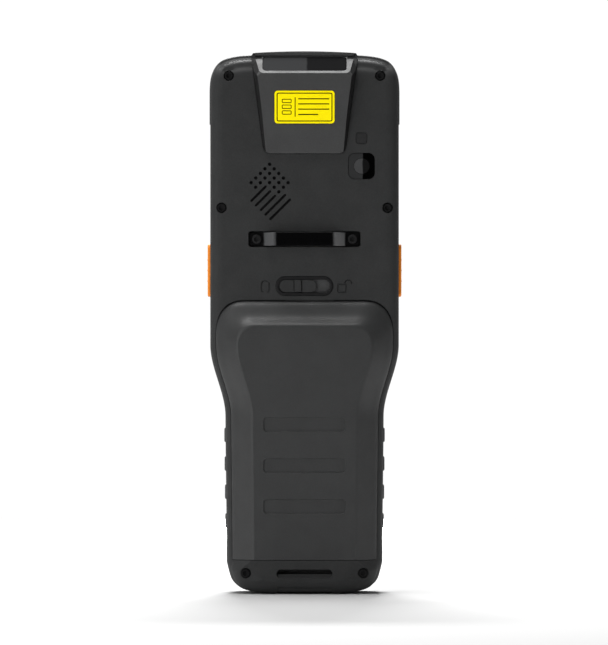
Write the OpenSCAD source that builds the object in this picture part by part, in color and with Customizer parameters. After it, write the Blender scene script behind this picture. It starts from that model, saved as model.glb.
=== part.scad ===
// Portable barcode data terminal: a hand-held computer with a scan head at
// the top, a display and keypad on the front (+Y), and a grip that holds the
// battery behind a lift-off door on the back (-Y).
// Frame: X across, Y depth, Z along the length. The origin is the middle of
// the foot that it stands on.

/* [Case] */
// Half width of the upper case
upper_hw = 34.9; // [34.7:0.1:35.1]
// Half width of the grip, near the foot
grip_hw = 28.8; // [28.6:0.1:29.0]
// Wall thickness of the shells
wall = 1.6; // [1.5:0.1:1.7]
// How far the raised front rim stands before the front face
rim_h = 1.2; // [0.8:0.1:1.2]

/* [Battery door] */
// Depth of the door's flat at its top end
flat_top = 15; // [14.6:0.1:15]
// Depth of the door's flat at its bottom end
flat_bot = 12.5; // [12.4:0.1:12.6]
// Depth of the three finger recesses
recess_d = 0.6; // [0.3:0.1:0.7]

/* [Strap bar] */
// Height of the strap bar's top above the centre plane
bar_y = 14; // [13.8:0.1:14.2]
// Width of the strap bar
bar_w = 4.9; // [4.6:0.1:5]

/* [Keys and buttons] */
// Travel of a key
key_travel = 0.8; // [0.5:0.1:0.8]
// Gap round a key in its hole
key_gap = 0.3; // [0.25:0.05:0.35]
// How far a side button stands out of the case
side_proud = 1.0; // [0.8:0.1:1.1]
// Travel of the battery lock
lock_travel = 4.9; // [4:0.1:4.9]

/* [Screws] */
// Head diameter of the case screws
screw_head = 3.4; // [3.2:0.1:3.5]
// Thread diameter of the case screws
screw_d = 2; // [1.9:0.1:2]

/* [Hidden] */
$fn = 48;

body_c = "#383a3b"; dark_c = "#1d1e1f"; rubber_c = "#4c4e50";
orange_c = "#e8842c"; yellow_c = "#ffe600"; pcb_c = "#1f5a3a";

back_y = 8;             // depth of the upper back
part_r = 4.4;           // rear shell's joint face
part_f = 4.6;           // front shell's joint face
front_y = 15;           // front rim
face_y = front_y - rim_h; // front face
seam_z = 108.2;         // top edge of the battery door
chin_z = 12.5;          // bottom edge of the battery door
ledge_y = 7.2;          // ledge that the door rests on

// ---------------------------------------------------------------- outline
function sst(t) = t <= 0 ? 0 : t >= 1 ? 1 : t*t*(3 - 2*t);
function hw(z) = grip_hw + 0.5*sst((z - 10)/60)
    + (upper_hw - grip_hw - 0.5)*sst((z - 65.5)/26.5);
foot = [[12.5, 0], [15.5, 0.2], [18.2, 0.5], [20.5, 0.9], [22.5, 1.5],
  [24.2, 2.4], [25.6, 3.6], [26.8, 5], [27.6, 7], [28.2, 9.2]];
side_z = [12, 20, 36, 52, 65, 69, 73, 77, 81, 85, 89, 93, 106, 130, 152,
  174, 186];
head = [[34.7, 189.5], [34.3, 191.7], [33.5, 193.8], [32.4, 195.6],
  [31, 196.9], [29.4, 197.7], [27, 198.4], [24, 198.9], [19.5, 199.2],
  [10, 199.4]];
right_pts = concat(foot, [for (z = side_z) [hw(z), z]], head);
function mir(l) = [for (i = [len(l)-1 : -1 : 0]) [-l[i][0], l[i][1]]];
outline = concat(right_pts, mir(right_pts));
n_out = len(outline);
function unit(v) = v / max(1e-9, norm(v));
// inward offset of a closed outline, point by point
function inset(l, d) = [for (i = [0 : len(l)-1])
    let (a = l[(i + len(l) - 1) % len(l)], b = l[(i + 1) % len(l)],
         t = unit(b - a)) [l[i][0] - t[1]*d, l[i][1] + t[0]*d]];
function at_y(l, y) = [for (p = l) [p[0], y, p[1]]];

function mean(l) = [for (k = [0 : 2]) [for (p = l) p[k]] * [for (p = l) 1]
    / len(l)];
// solid through a list of rings; each ring runs counter-clockwise seen from
// the back, and the rings run from front to back; the end faces fan out from
// their middle, or from the height cz on the centre plane
module loft(r, cz = -1) {
  n = len(r[0]); m = len(r);
  mid = [for (q = [r[0], r[m-1]]) cz < 0 ? mean(q) : [0, q[0][1], cz]];
  polyhedron(points = concat([for (q = r) each q], mid), faces = concat(
    [for (i = [0 : n-1]) [m*n, i, (i+1) % n]],
    [for (i = [0 : n-1]) [m*n + 1, (m-1)*n + (i+1) % n, (m-1)*n + i]],
    [for (k = [0 : m-2], i = [0 : n-1]) let (j = (i+1) % n)
      [k*n + i, (k+1)*n + i, (k+1)*n + j]],
    [for (k = [0 : m-2], i = [0 : n-1]) let (j = (i+1) % n)
      [k*n + i, (k+1)*n + j, k*n + j]]), convexity = 6);
}
// rings of the case outline from [y, inset] pairs
module case_loft(yi) {
  loft([for (q = yi) at_y(inset(outline, q[1]), q[0])], 60); }
// straight block of the case outline
module case_block(y0, y1, d) { ext_y(y0, y1) polygon(inset(outline, d)); }

// ------------------------------------------------------- 2-D and extrusions
module ext_y(y0, y1) { translate([0, y1, 0]) rotate([90, 0, 0])
    linear_extrude(y1 - y0) children(); }
module ext_x(x0, x1) { translate([x0, 0, 0]) rotate([90, 0, 90])
    linear_extrude(x1 - x0) children(); }
module rr(w, h, r) { square([w - 2*r, h], center = true);
  if (h - 2*r > 0.01) square([w, h - 2*r], center = true);
  for (x = [-1, 1], y = [-1, 1]) translate([x*(w/2 - r), y*(h/2 - r)])
    circle(r); }
module cyl_y(x, z, y0, y1, d) { translate([x, y1, z]) rotate([90, 0, 0])
    cylinder(d = d, h = y1 - y0); }
module box(a, b) { translate(a) cube(b - a); }

// ------------------------------------------------------- battery door hump
hump_p = [[0, 0], [0.06, 0.1], [0.2, 0.23], [0.5, 0.47], [0.66, 0.61],
  [0.8, 0.79], [0.9, 0.92], [1, 1]];
hump_n = 2/2.45; // squareness of the two upper corners
hump_f = [for (z = [0, 0.2, 0.45, 0.62, 0.68, 0.74, 0.8, 0.86, 0.92]) z];
function flat_at(z) = flat_top - (flat_top - flat_bot)*(98.5 - z)/86;
// one ring: t runs from the seam (0) to the flat's border (1), e is the
// extra inset of an inner face, lift moves the face inward
function hump_ring(t, p, z0, e, lift, base) =
  let (zc = 95 - 2*t - e*0.5, rx = 11.4 - 5.9*t, rz = 13.2 - 7.7*t - e*0.5,
       rt = [for (f = hump_f) let (z = z0 + f*(zc - z0))
               [hw(z) - 2.1 - 8.2*t - e, z]],
       h = hw(zc) - 2.1 - 8.2*t - e,
       cr = [for (a = [0 : 15 : 90]) [h - rx + rx*pow(cos(a), hump_n),
               zc + rz*pow(sin(a), hump_n)]],
       half = concat(rt, cr), all = concat([[0, z0]], half, mir(half)))
  [for (q = all) [q[0], -(base + (flat_at(q[1]) - lift - base)*p), q[1]]];
module hump(z0, e, lift, base, deep) {
  loft(concat([[for (q = hump_ring(0, 0, z0, e, lift, base))
                  [q[0], -deep, q[2]]]],
    [for (q = hump_p) hump_ring(q[0], q[1], z0, e, lift, base)]));
}
module door_hole(c) { // prism a little wider than the door
  ext_y(-20, -ledge_y) polygon([for (q = hump_ring(0, 0, chin_z - 0.1, -c,
    0, 7.4)) [q[0], q[2] + (q[2] > 100 ? 0.25 : 0)]]); }

// ------------------------------------------------------------ key layout
// name, x, z, width, height, corner
key_x = 16.6;
// the front is seen from +Y, so +X is on its left
keys = [["menu", 17, 93, 12, 7.4, 2.6], ["up", 0, 93, 15, 7.4, 2.6],
  ["back", -17, 93, 12, 7.4, 2.6], ["left", 18, 80.5, 10.5, 11, 3],
  ["scan", 0, 80.5, 19, 12, 5.4], ["right", -18, 80.5, 10.5, 11, 3],
  ["escape", 17, 68, 12, 7.4, 2.6], ["down", 0, 68, 15, 7.4, 2.6],
  ["enter", -17, 68, 12, 7.4, 2.6],
  ["1", key_x, 56, 13.4, 7.6, 2.6], ["2", 0, 56, 13.4, 7.6, 2.6],
  ["3", -key_x, 56, 13.4, 7.6, 2.6], ["4", key_x, 44.5, 13.4, 7.6, 2.6],
  ["5", 0, 44.5, 13.4, 7.6, 2.6], ["6", -key_x, 44.5, 13.4, 7.6, 2.6],
  ["7", key_x, 33, 13.4, 7.6, 2.6], ["8", 0, 33, 13.4, 7.6, 2.6],
  ["9", -key_x, 33, 13.4, 7.6, 2.6], ["dot", key_x, 21.5, 13.4, 7.6, 2.6],
  ["0", 0, 21.5, 13.4, 7.6, 2.6], ["clear", -key_x, 21.5, 13.4, 7.6, 2.6]];

// ------------------------------------------------------------ screw places
// x, z, depth of the head's seat
case_screws = [[28, 191.4, 5.8], [-28, 191.4, 5.8], [30.7, 142.6, 5.8],
  [-30.7, 142.6, 5.8], [21.7, 7.7, 9.6], [-21.7, 7.7, 9.6]];
bar_screws = [17.7, -17.7];
bar_z = 131; lock_z = 113.7; cam_x = 21.1; cam_z = 158; flash_z = 168.3;
spk_x = -12.9; spk_z = 148.8;
// sound holes, in half pitches from the middle, row by row from the top
spk_rows = [[0], [-1, 1], [-2, 0, 2], [-3, -1, 1, 3], [-4, -2, 0, 2, 4],
  [-3, 1, 3], [2]];
// sound slots: middle x, z and length
spk_slots = [[-17, 147.8, 8.2], [-15.3, 146.1, 8.2], [-13.5, 144.4, 8.2],
  [-10.8, 143.7, 11], [-9, 142, 11]];

// ------------------------------------------------------------ scan head
// side profile of the cover, [y, z]
cov_out = [[-6.9, 162.7], [-8.6, 162.7], [-8.9, 163.1], [-12.2, 191.4],
  [-12.3, 192.2], [-4.9, 198.6], [-4.6, 199.2], [-4.5, 200.1],
  [-3.9, 200.7], [4.2, 200.7], [4.2, 198.4], [-3.6, 198.4],
  [-6.9, 195.6]];
module trap(x0, z0, x1, z1) { polygon([[-x0, z0], [x0, z0], [x1, z1],
  [-x1, z1]]); }
module cover_solid(c) { // c widens it, for the pocket in the case
  difference() { intersection() {
    ext_x(-30, 30) polygon(cov_out);
    translate([0, 6, -65.4]) rotate([90, 0, 0])
      cylinder(r = 266, h = 22, $fn = 240);
    union() {
      ext_y(-8.1, 4.2) trap(15 + c, 162.7 - c, 20.3 + c, 201);
      intersection() {
        ext_y(-13, -8.1) trap(15, 162.7, 20.3, 201);
        loft([for (q = [[-8.1, 0], [-12.4, 1.7]])
          [[-15 + q[1], q[0], 162], [15 - q[1], q[0], 162],
           [20.3 - q[1], q[0], 202], [-20.3 + q[1], q[0], 202]]]);
      }
    }
  }
  // the side walls lean in beside the window as well
  if (c == 0) for (s = [-1, 1]) on_window() translate([0, 9, 0])
    rotate([90, 0, 0]) linear_extrude(14.5) polygon([[s*17.65, 0],
      [s*19.6, -4.2], [s*30, -4.2], [s*30, 2.2], [s*17.65, 2.2]]);
  }
}
win_c = [-8.1, 195.85]; win_a = 49.2; // middle and lean of the window
module on_window() { translate([0, win_c[0], win_c[1]])
    rotate([-win_a, 0, 0]) rotate([90, 0, 0]) children(); }

// ================================================================ shells
// y, inset and half width of the foot block's rings
foot_rings = [[-1, 0.06, 26.7], [-7.4, 0.06, 26.7], [-7.9, 0.06, 26.4],
  [-8.8, 0.06, 25.2], [-10.4, 0.7, 23.2], [-11.4, 1.7, 21.7],
  [-12.1, 2.9, 20.2], [-flat_bot, 4.2, 18.6]];
function foot_ring(y, d, w) = let (l = inset(outline, d),
    h = concat([for (i = [0 : len(foot) - 1]) [min(l[i][0], w), l[i][1]]],
      [[w, chin_z - 0.1]]))
  at_y(concat(h, mir(h)), y);
module rear_outer() {
  case_loft([[part_r, 0], [-4, 0], [-5.9, 0.5], [-7.2, 1.7], [-7.8, 3],
    [-8, 5]]);
  // foot block, level with the door's flat
  loft([for (q = foot_rings) foot_ring(q[0], q[1], q[2])]);
}
module bosses(y0, y1, d) {
  for (s = case_screws) cyl_y(s[0], s[1], y0, y1, d);
}
module rear_housing() color(body_c) difference() {
  union() {
    difference() {
      rear_outer();
      // room for the boards, in front of the battery bay
      case_block(0.6, part_r + 1, wall);
      // room behind the display
      intersection() {
        union() { case_block(-5, part_r + 1, wall + 0.6);
          case_block(-back_y + wall, -4.9, wall + 3.4); }
        box([-40, -10, 111], [40, 5, 197.6]);
      }
    }
    intersection() {
      union() {
        for (s = case_screws) if (s[1] > 100)
          cyl_y(s[0], s[1], -7, part_r, 6.4);
        for (s = case_screws) if (s[1] < 100)
          cyl_y(s[0], s[1], -2, part_r, 6);
      }
      case_block(-7, part_r, 1.7);
    }
    // pad behind the strap bar, with its nuts
    box([-23, -7.4, 126.4], [23, -2.6, 135.6]);
    // guide walls of the battery lock
    box([-15.8, -7.4, 109.2], [15.8, -4.4, 118.4]);
    // posts of the main board
    for (x = [-20, 20], z = [20, 60, 100]) cyl_y(x, z, 0.5, 1.6, 4);
    for (x = [-25, 25], z = [122, 182]) cyl_y(x, z, -7, 1.6, 4.4);
    // seats of the rear camera and of the loudspeaker
    difference() {
      ext_y(-7, -5.2) translate([cam_x, 161]) square([13, 20],
        center = true);
      ext_y(-7.2, -5) { translate([cam_x, cam_z]) square(8.4,
        center = true); translate([cam_x, flash_z]) square(3.4,
        center = true); }
    }
    difference() {
      cyl_y(spk_x, spk_z, -7, -4.6, 26);
      cyl_y(spk_x, spk_z, -7.4, -4, 23);
    }
  }
  // battery door's seat, hooks and bay
  door_hole(0.12);
  ext_y(-9, -0.8) polygon([[-23.6, 15.5], [23.6, 15.5], [23.6, 62],
    [27, 82], [27, 98.8], [22, 105.4], [-22, 105.4], [-27, 98.8], [-27, 82],
    [-23.6, 62]]);
  for (s = [-1, 1]) translate([s*16, 0, 0])
    box([-3.6, -10.2, 9.9], [3.6, -7.5, 16]);
  // slot from the lock to the door's catch
  box([-5, -7.0, 103], [9, -5.4, 112]);
  // scan head: seat and through opening
  cover_solid(0.12);
  ext_y(-9, 0) trap(13.2, 165, 16.6, 194.5);
  on_window() translate([0, 0, -1.9]) linear_extrude(4) rr(31.4, 8.7, 1.7);
  on_window() translate([0, 0, -8]) linear_extrude(7) rr(27, 5.6, 0.8);
  // strap bar recess and screw holes
  ext_y(-9, -5.5) translate([0, bar_z + 0.05]) rr(41.4, 5.9, 1.1);
  for (x = bar_screws) cyl_y(x, bar_z, -6, -3, 2.1);
  // lock: seat of the bezel, slot and plate channel
  ext_y(-9, -7.3) translate([0, lock_z]) rr(21.3, 7.3, 3.6);
  ext_y(-9, -4) translate([0, lock_z]) rr(19.4, 4.8, 2.3);
  box([-14.7, -7.0, 110.2], [14.7, -5.4, 117.2]);
  // camera and flash windows
  ext_y(-9, -6.9) translate([cam_x, cam_z]) rr(9.8, 9.8, 2.4);
  ext_y(-9, -6.9) translate([cam_x, flash_z]) rr(4.2, 4.2, 1);
  cyl_y(cam_x, cam_z, -8, -4, 6.6);
  cyl_y(cam_x, flash_z, -8, -4, 3);
  // loudspeaker holes and slots
  for (r = [0 : 6], c = spk_rows[r]) cyl_y(spk_x + 1.705*c,
    158.7 - 1.7*r, -9, -6, 1.2);
  for (q = spk_slots) ext_y(-9, -6) translate([q[0], q[1]]) rotate(45)
    rr(q[2], 0.8, 0.39);
  // case screws: head seats and through holes
  for (s = case_screws) {
    cyl_y(s[0], s[1], -16, -s[2], screw_head + 0.5);
    cyl_y(s[0], s[1], -s[2] - 1, part_r + 1, screw_d + 0.1);
  }
  // side button windows
  for (s = [-1, 1]) translate([s*34, 0, 119.45]) rotate([0, 90, 0])
    translate([0, 0, -2]) linear_extrude(4) rr(20.1, 7.4, 1.8);
  // room for the flanges of the side buttons
  for (s = [-1, 1]) translate([s*31.7, 0, 119.45])
    cube([2.3, 9.4, 22.6], center = true);
  // seats of the side grips
  for (s = [-1, 1], z = grip_z) translate([s*hw(z), -0.2, z])
    cube([2.8, 7.6, 5.3], center = true);
  // lanyard passage round its bar
  ext_x(-10.2, 10.2) polygon([[-5.6, -1], [-5.6, 9], [-14, 9], [-14, 5.9],
    [-12.2, 5.9], [-10.6, 7.4], [-10, 7], [-10, 3], [-10.8, 2.5],
    [-14, 2.5], [-14, 1.15], [-9.95, 1.15], [-9.95, -1]]);
  // data port
  box([-12.8, -4.7, -1], [12.8, 2.8, 2.4]);
  box([-4.8, -1.9, 2], [4.8, 1.7, 12]);
}
module front_housing() color(body_c) difference() {
  union() {
    difference() {
      case_loft([[front_y, 3.2], [front_y - 0.3, 2], [front_y - 1.2, 0.9],
        [front_y - 3, 0], [part_f, 0]]);
      case_block(face_y, 16, 4.4);
      case_block(10.4, face_y - wall, wall + 1.8);
      case_block(3, 10.5, wall);
    }
    intersection() {
      union() {
        bosses(part_f, 12.4, 5.4);
        // display ledge
        difference() { box([-33.4, 11.2, 102.6], [33.4, 12.4, 189.4]);
          box([-25.6, 11, 107], [25.6, 13, 184]); }
        // posts of the keypad board
        for (x = [-8.8, 8.8], z = [15.4, 50.3, 62, 98.8])
          cyl_y(x, z, 9, 12.4, 2);
      }
      case_block(part_f, 12.4, 1.3);
    }
  }
  // display seat and opening
  ext_y(12.4, 16) translate([0, 145.5]) rr(58.2, 84.2, 3.1);
  ext_y(10, 16) translate([0, 145.5]) rr(51.2, 77, 1);
  // earpiece
  ext_y(12, 15) translate([0, 191.6]) rr(12, 1.6, 0.8);
  // key holes
  for (k = keys) ext_y(11, 16) translate([k[1], k[2]])
    rr(k[3] + 2*key_gap, k[4] + 2*key_gap, k[5] + key_gap);
  // screw holes
  for (s = case_screws) cyl_y(s[0], s[1], 4, 10.4, screw_d + 0.1);
  // bumper's seat
  difference() {
    case_block(5.2, 13.2, -1);
    bumper_limit();
  }
}
module bumper_limit() { // the case inside the bumper, and all below it
  case_block(4, 15, 1.1);
  box([-40, 0, -1], [40, 20, 174]);
}
module top_bumper() color(rubber_c) difference() {
  case_loft([[13.2, -0.25], [12.4, -0.45], [6.4, -0.45], [5.2, -0.35]]);
  bumper_limit();
}
module housing_gasket() color(dark_c) ext_y(part_r, part_f) difference() {
  polygon(inset(outline, 0.3));
  polygon(inset(outline, 1.2));
}
grip_z = [58.55, 47.95, 37.5, 26.85];
module side_grip(s) color(rubber_c) for (z = grip_z)
  translate([s*hw(z), -0.2, z]) intersection() {
    translate([s*(-0.45), 0, 0]) cube([1.9, 7.6, 5.3], center = true);
    translate([s*(-4.5), 0, 0]) rotate([90, 0, 0])
      cylinder(r = 5, h = 9, center = true, $fn = 96);
  }
module side_grip_left() side_grip(-1);
module side_grip_right() side_grip(1);

// ================================================================ scan head
module scan_head_cover() color("#404243") difference() {
  cover_solid(0);
  // hollow for the scan engine
  ext_x(-12.6, 12.6) polygon([[-5, 166.5], [-7.2, 166.5], [-10.2, 190.5],
    [-9.6, 192.2], [-5.2, 196], [-5, 196]]);
  on_window() translate([0, 0, -1.4]) linear_extrude(4) rr(31, 8.3, 1.5);
  on_window() translate([0, 0, -5]) linear_extrude(6) rr(27, 5.6, 0.8);
  // shallow seat of the label
  asset_seat(0.05);
}
module asset_seat(c) { translate([0, 0, 0]) intersection() {
    rotate([0, 0, 0]) label_place(-0.25, 2) rr(22.4, 12.5, 1.2); } }
// the cover's back leans by 3.3 / 28.3
lab_a = atan(3.3/28.3);
module label_place(a, b) translate([0, -8.9 - (179.7 - 163.1)*3.3/28.3,
    179.7]) rotate([lab_a, 0, 0]) rotate([90, 0, 0])
  translate([0, 0, a]) linear_extrude(b - a) children();
module asset_label() color(yellow_c) label_place(-0.25, 0.05)
  rr(22.3, 12.4, 1.15);
module scan_window() color("#15171a") on_window()
  translate([0, 0, -1.4]) linear_extrude(1.3) rr(30.8, 8.1, 1.4);
module scan_engine() color(dark_c) difference() {
  union() {
    box([-11, -6.4, 178], [11, 0.6, 191]);
    box([-12.4, -0.9, 178], [12.4, 1.6, 193.5]);
    box([-12.4, -4.4, 189], [-9, 0.6, 193]);
  }
  translate([4, -3.4, 187]) cylinder(d = 5, h = 8);
  translate([-5, -3.4, 187]) cylinder(d = 3.2, h = 8);
}

// ================================================================ back
module camera_window() color("#0e0f10") ext_y(-7.8, -6.9)
  translate([cam_x, cam_z]) rr(9.6, 9.6, 2.3);
module camera_module() color(dark_c) {
  difference() {
    union() { box([cam_x - 4.1, -5.6, cam_z - 4.1],
                [cam_x + 4.1, 1.6, cam_z + 4.1]);
      cyl_y(cam_x, cam_z, -6.8, -5.2, 5.7); }
    cyl_y(cam_x, cam_z, -7, -5.9, 3);
  }
}
module flash_window() color("#c9cac4") ext_y(-7.8, -6.9)
  translate([cam_x, flash_z]) rr(4, 4, 0.9);
module flash_led() color("#e8e0a0") {
  cyl_y(cam_x, flash_z, -6.7, -5.4, 2.4);
  box([cam_x - 1.6, -5.5, flash_z - 1.6], [cam_x + 1.6, 1.6,
    flash_z + 1.6]);
}
module loudspeaker() color(dark_c) {
  cyl_y(spk_x, spk_z, -6.1, -3.4, 22);
  cyl_y(spk_x, spk_z, -3.4, 1.6, 14);
}
module speaker_mesh() color("#101112")
  cyl_y(spk_x, spk_z, -6.4, -6.1, 22.4);
module strap_bar() color("#0b0c0d") difference() {
  translate([0, 0, bar_z - bar_w/2]) linear_extrude(bar_w) polygon([
    [-20.2, -5.5], [-14.7, -5.5], [-10.8, 1.3 - bar_y], [-10.5, 1.2 - bar_y],
    [10.5, 1.2 - bar_y], [10.8, 1.3 - bar_y], [14.7, -5.5], [20.2, -5.5],
    [20.2, -6.7], [15.3, -6.7], [11.5, 0.4 - bar_y], [10.5, -bar_y],
    [-10.5, -bar_y], [-11.5, 0.4 - bar_y], [-15.3, -6.7],
    [-20.2, -6.7]]);
  for (x = bar_screws) cyl_y(x, bar_z, -8, -5, 2.1);
}
module hex_screw(x, z, seat, end) difference() {
  union() { cyl_y(x, z, -seat - 1.5, -seat, screw_head);
    cyl_y(x, z, -seat, end, screw_d); }
  translate([x, -seat - 0.7, z]) rotate([90, 0, 0])
    cylinder(d = 1.8, h = 2, $fn = 6);
}
module strap_bar_screws() color(dark_c) for (x = bar_screws)
  hex_screw(x, bar_z, 6.7, -3.2);
module housing_screws() color(dark_c) for (s = case_screws)
  hex_screw(s[0], s[1], s[2], 9.8);
module lock_bezel() color("#151617") ext_y(-8.15, -7.3) difference() {
  translate([0, lock_z]) rr(21.2, 7.2, 3.55);
  translate([0, lock_z]) rr(18.9, 4.9, 2.4);
}
knob_x = -2.45; // middle of the knob, locked
module lock_slider() color(body_c) {
  ext_y(-8.3, -6.9) translate([knob_x, lock_z]) rr(13.8, 4.7, 2.3);
  ext_y(-8.9, -8.3) translate([-2.45, lock_z]) rr(2.4, 4, 0.5);
}
// wide enough to close the slot at both ends of its travel
module latch_plate() color("#4a4c4e") {
  box([-14.2, -6.9, lock_z - 3.3], [9.5, -6.1, lock_z + 3.3]);
  box([-3.5, -6.9, 104.8], [2.5, -6.1, lock_z - 3.3]);
}

// ================================================================ door
module battery_door() color(body_c) difference() {
  union() {
    difference() {
      hump(chin_z + 0.1, 0, 0, 7.4, ledge_y);
      hump(chin_z + 1.9, 1.9, 1.7, 6, 5);
    }
    // hooks at the foot
    for (s = [-1, 1]) box([s*16 - 3, -9.4, 10.5],
      [s*16 + 3, -8.3, 15.4]);
    // catch for the lock, just short of the latch plate
    box([-3, -8.9, 102.2], [6, -6.4, 104.4]);
  }
  for (z = [62.65, 47.45, 32.35]) let (y = flat_at(z))
    ext_y(-18, -y + recess_d) translate([0, z]) rr(30.1, 5.25, 1.2);
  seal_ring(-7.7, -7, 0); // groove of the seal
}
// ring along the door's border, from y0 to y1, c narrower on both sides
module seal_ring(y0, y1, c) difference() {
  ext_y(y0, y1) polygon([for (q = hump_ring(0, 0, chin_z + 0.7 + c,
    0.6 + c, 0, 7.4)) [q[0], q[2]]]);
  ext_y(y0 - 1, y1 + 1) polygon([for (q = hump_ring(0, 0, chin_z + 1.5 - c,
    1.4 - c, 0, 7.4)) [q[0], q[2]]]);
}
module door_seal() color("#2a2c2e") seal_ring(-7.7, -7.26, 0.05);
module battery_pack() color("#8f9396") difference() {
  translate([0, 0, 18]) linear_extrude(80) polygon([[-22.6, -1.1],
    [-22.6, -6.6], [-18, -9.5], [18, -9.5], [22.6, -6.6], [22.6, -1.1]]);
  box([-9, -12, 96.6], [9, 0, 99]);
  for (x = [-6, -2, 2, 6]) box([x - 1, -4.4, 94.5], [x + 1, 0, 99]);
}
module battery_contacts() color("#d8b25a") for (x = [-6, -2, 2, 6])
  difference() {
    box([x - 0.7, -4.2, 95.6], [x + 0.7, -0.8, 101]);
    box([x - 1, -3.4, 96.6], [x + 1, -1.6, 100]);
  }

// ================================================================ sides
module side_button(s) color(orange_c) mirror([s < 0 ? 1 : 0, 0, 0]) {
  translate([0, 0, 119.45]) rotate([0, 90, 0]) {
    translate([0, 0, 32.4]) linear_extrude(upper_hw + side_proud - 32.4)
      rr(19.5, 6.8, 1.6);
    translate([0, 0, 31.5]) linear_extrude(1.2) rr(21.5, 8.6, 1.8);
  }
  for (z = [115.55, 119.45, 123.35]) translate([upper_hw + side_proud - 0.4,
    0, z]) rotate([90, 0, 0]) cylinder(r = 0.5, h = 5.6, center = true);
}
module side_button_left() side_button(-1);
module side_button_right() side_button(1);
module side_switches() color("#c9ccd0") for (s = [-1, 1])
  mirror([s < 0 ? 1 : 0, 0, 0]) {
    box([27.4, -2.6, 116.2], [30.2, 1.6, 122.6]);
    translate([30.2, -0.5, 119.4]) rotate([0, 90, 0])
      cylinder(d = 2.4, h = 0.5);
  }

// ================================================================ inside
module main_board() color(pcb_c) difference() {
  ext_y(1.6, 2.8) polygon(inset(outline, 4.6));
  for (s = case_screws) cyl_y(s[0], s[1], 1, 4, 7.2);
}
module display_glass() color("#0c0d0f") ext_y(12.4, 13.6)
  translate([0, 145.5]) rr(58, 84, 3);
module lcd_module() color("#b9bcc0") {
  box([-27.5, 7.2, 105], [27.5, 11.2, 186]);
  box([-22, 2.8, 110], [22, 7.2, 112.5]);
  box([-22, 2.8, 178], [22, 7.2, 180.5]);
}
module keypad_board() color(pcb_c) difference() {
  ext_y(7.2, 8.1) polygon([[-24.5, 12], [24.5, 12], [24.5, 62], [27, 80],
    [27, 101.5], [-27, 101.5], [-27, 80], [-24.5, 62]]);
  for (x = [-19, 19]) cyl_y(x, 62.2, 7, 9, 2.4);
}
module key_mat() color("#cfd2d4") {
  ext_y(8.1, 9) polygon([[-24, 13], [24, 13], [24, 62], [26.4, 80],
    [26.4, 101], [-26.4, 101], [-26.4, 80], [-24, 62]]);
  for (k = keys) cyl_y(k[1], k[2], 8.9, 9.9, 4);
}
module earpiece_mesh() color("#101112") ext_y(11.6, 12.2)
  translate([0, 191.6]) rr(14, 2.6, 1);
module usb_connector() color("#b5b8bb") difference() {
  box([-4.5, -1.6, 2.6], [4.5, 1.6, 10]);
  box([-4.1, -1.2, 2], [4.1, 1.2, 9.2]);
}
io_y = 1.4; io_z = 1.3; // hinge of the port cover
module io_cover() color(rubber_c) {
  box([-12.4, -4.35, 0.2], [12.4, io_y, 1.7]);
  translate([-12.4, io_y, io_z]) rotate([0, 90, 0])
    cylinder(r = 0.95, h = 24.8);
  box([-3.2, -0.6, 1.6], [3.2, 0.4, 3]);
}

// ================================================================ keys
module keycap(name) for (k = keys) if (k[0] == name) {
  ext_y(11.9, 14.6) translate([k[1], k[2]]) rr(k[3], k[4], k[5]);
  ext_y(14.5, 14.9) translate([k[1], k[2]])
    rr(k[3] - 1, k[4] - 1, k[5] - 0.5);
  ext_y(11.0, 12) translate([k[1], k[2]]) rr(k[3] + 1.5, k[4] + 1.5,
    k[5] + 0.6);
}
module key(n) color(n == "scan" ? orange_c : "#44474a") keycap(n);

front_housing();
rear_housing();
housing_gasket();
top_bumper();
side_grip_left();
side_grip_right();
scan_head_cover();
scan_window();
scan_engine();
asset_label();
camera_window();
camera_module();
flash_window();
flash_led();
loudspeaker();
speaker_mesh();
strap_bar();
strap_bar_screws();
lock_bezel();
lock_slider();
latch_plate();
battery_door();
door_seal();
battery_pack();
battery_contacts();
side_button_left();
side_button_right();
side_switches();
housing_screws();
main_board();
display_glass();
lcd_module();
keypad_board();
key_mat();
earpiece_mesh();
io_cover();
usb_connector();
key("menu");  // key_menu
key("up");  // key_up
key("back");  // key_back
key("left");  // key_left
key("scan");  // key_scan
key("right");  // key_right
key("escape");  // key_escape
key("down");  // key_down
key("enter");  // key_enter
key("1");  // key_1
key("2");  // key_2
key("3");  // key_3
key("4");  // key_4
key("5");  // key_5
key("6");  // key_6
key("7");  // key_7
key("8");  // key_8
key("9");  // key_9
key("dot");  // key_dot
key("0");  // key_0
key("clear");  // key_clear
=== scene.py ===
import math
import bpy
import bmesh
from mathutils import Matrix, Vector


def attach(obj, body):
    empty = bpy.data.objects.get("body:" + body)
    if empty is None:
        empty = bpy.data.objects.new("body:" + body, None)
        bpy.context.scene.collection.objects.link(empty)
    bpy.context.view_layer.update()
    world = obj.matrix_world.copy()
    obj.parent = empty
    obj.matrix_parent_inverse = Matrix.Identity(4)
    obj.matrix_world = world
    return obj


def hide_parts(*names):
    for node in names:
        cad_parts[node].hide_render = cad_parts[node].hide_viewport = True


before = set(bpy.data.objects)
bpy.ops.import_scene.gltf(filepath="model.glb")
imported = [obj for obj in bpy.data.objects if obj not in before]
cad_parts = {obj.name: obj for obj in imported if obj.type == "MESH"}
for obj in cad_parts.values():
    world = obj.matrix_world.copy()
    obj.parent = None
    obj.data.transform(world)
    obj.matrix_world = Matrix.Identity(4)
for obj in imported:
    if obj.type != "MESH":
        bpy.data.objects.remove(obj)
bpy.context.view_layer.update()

PI = math.pi
# Shapes are made in millimetres, then scaled to metres when they are placed.


# ------------------------------------------------------------ numbers
def sst(t):
    t = min(1.0, max(0.0, t))
    return t*t*(3 - 2*t)


def hw(z):
    return 28.8 + 0.5*sst((z - 10)/60) + 5.6*sst((z - 65.5)/26.5)


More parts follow.
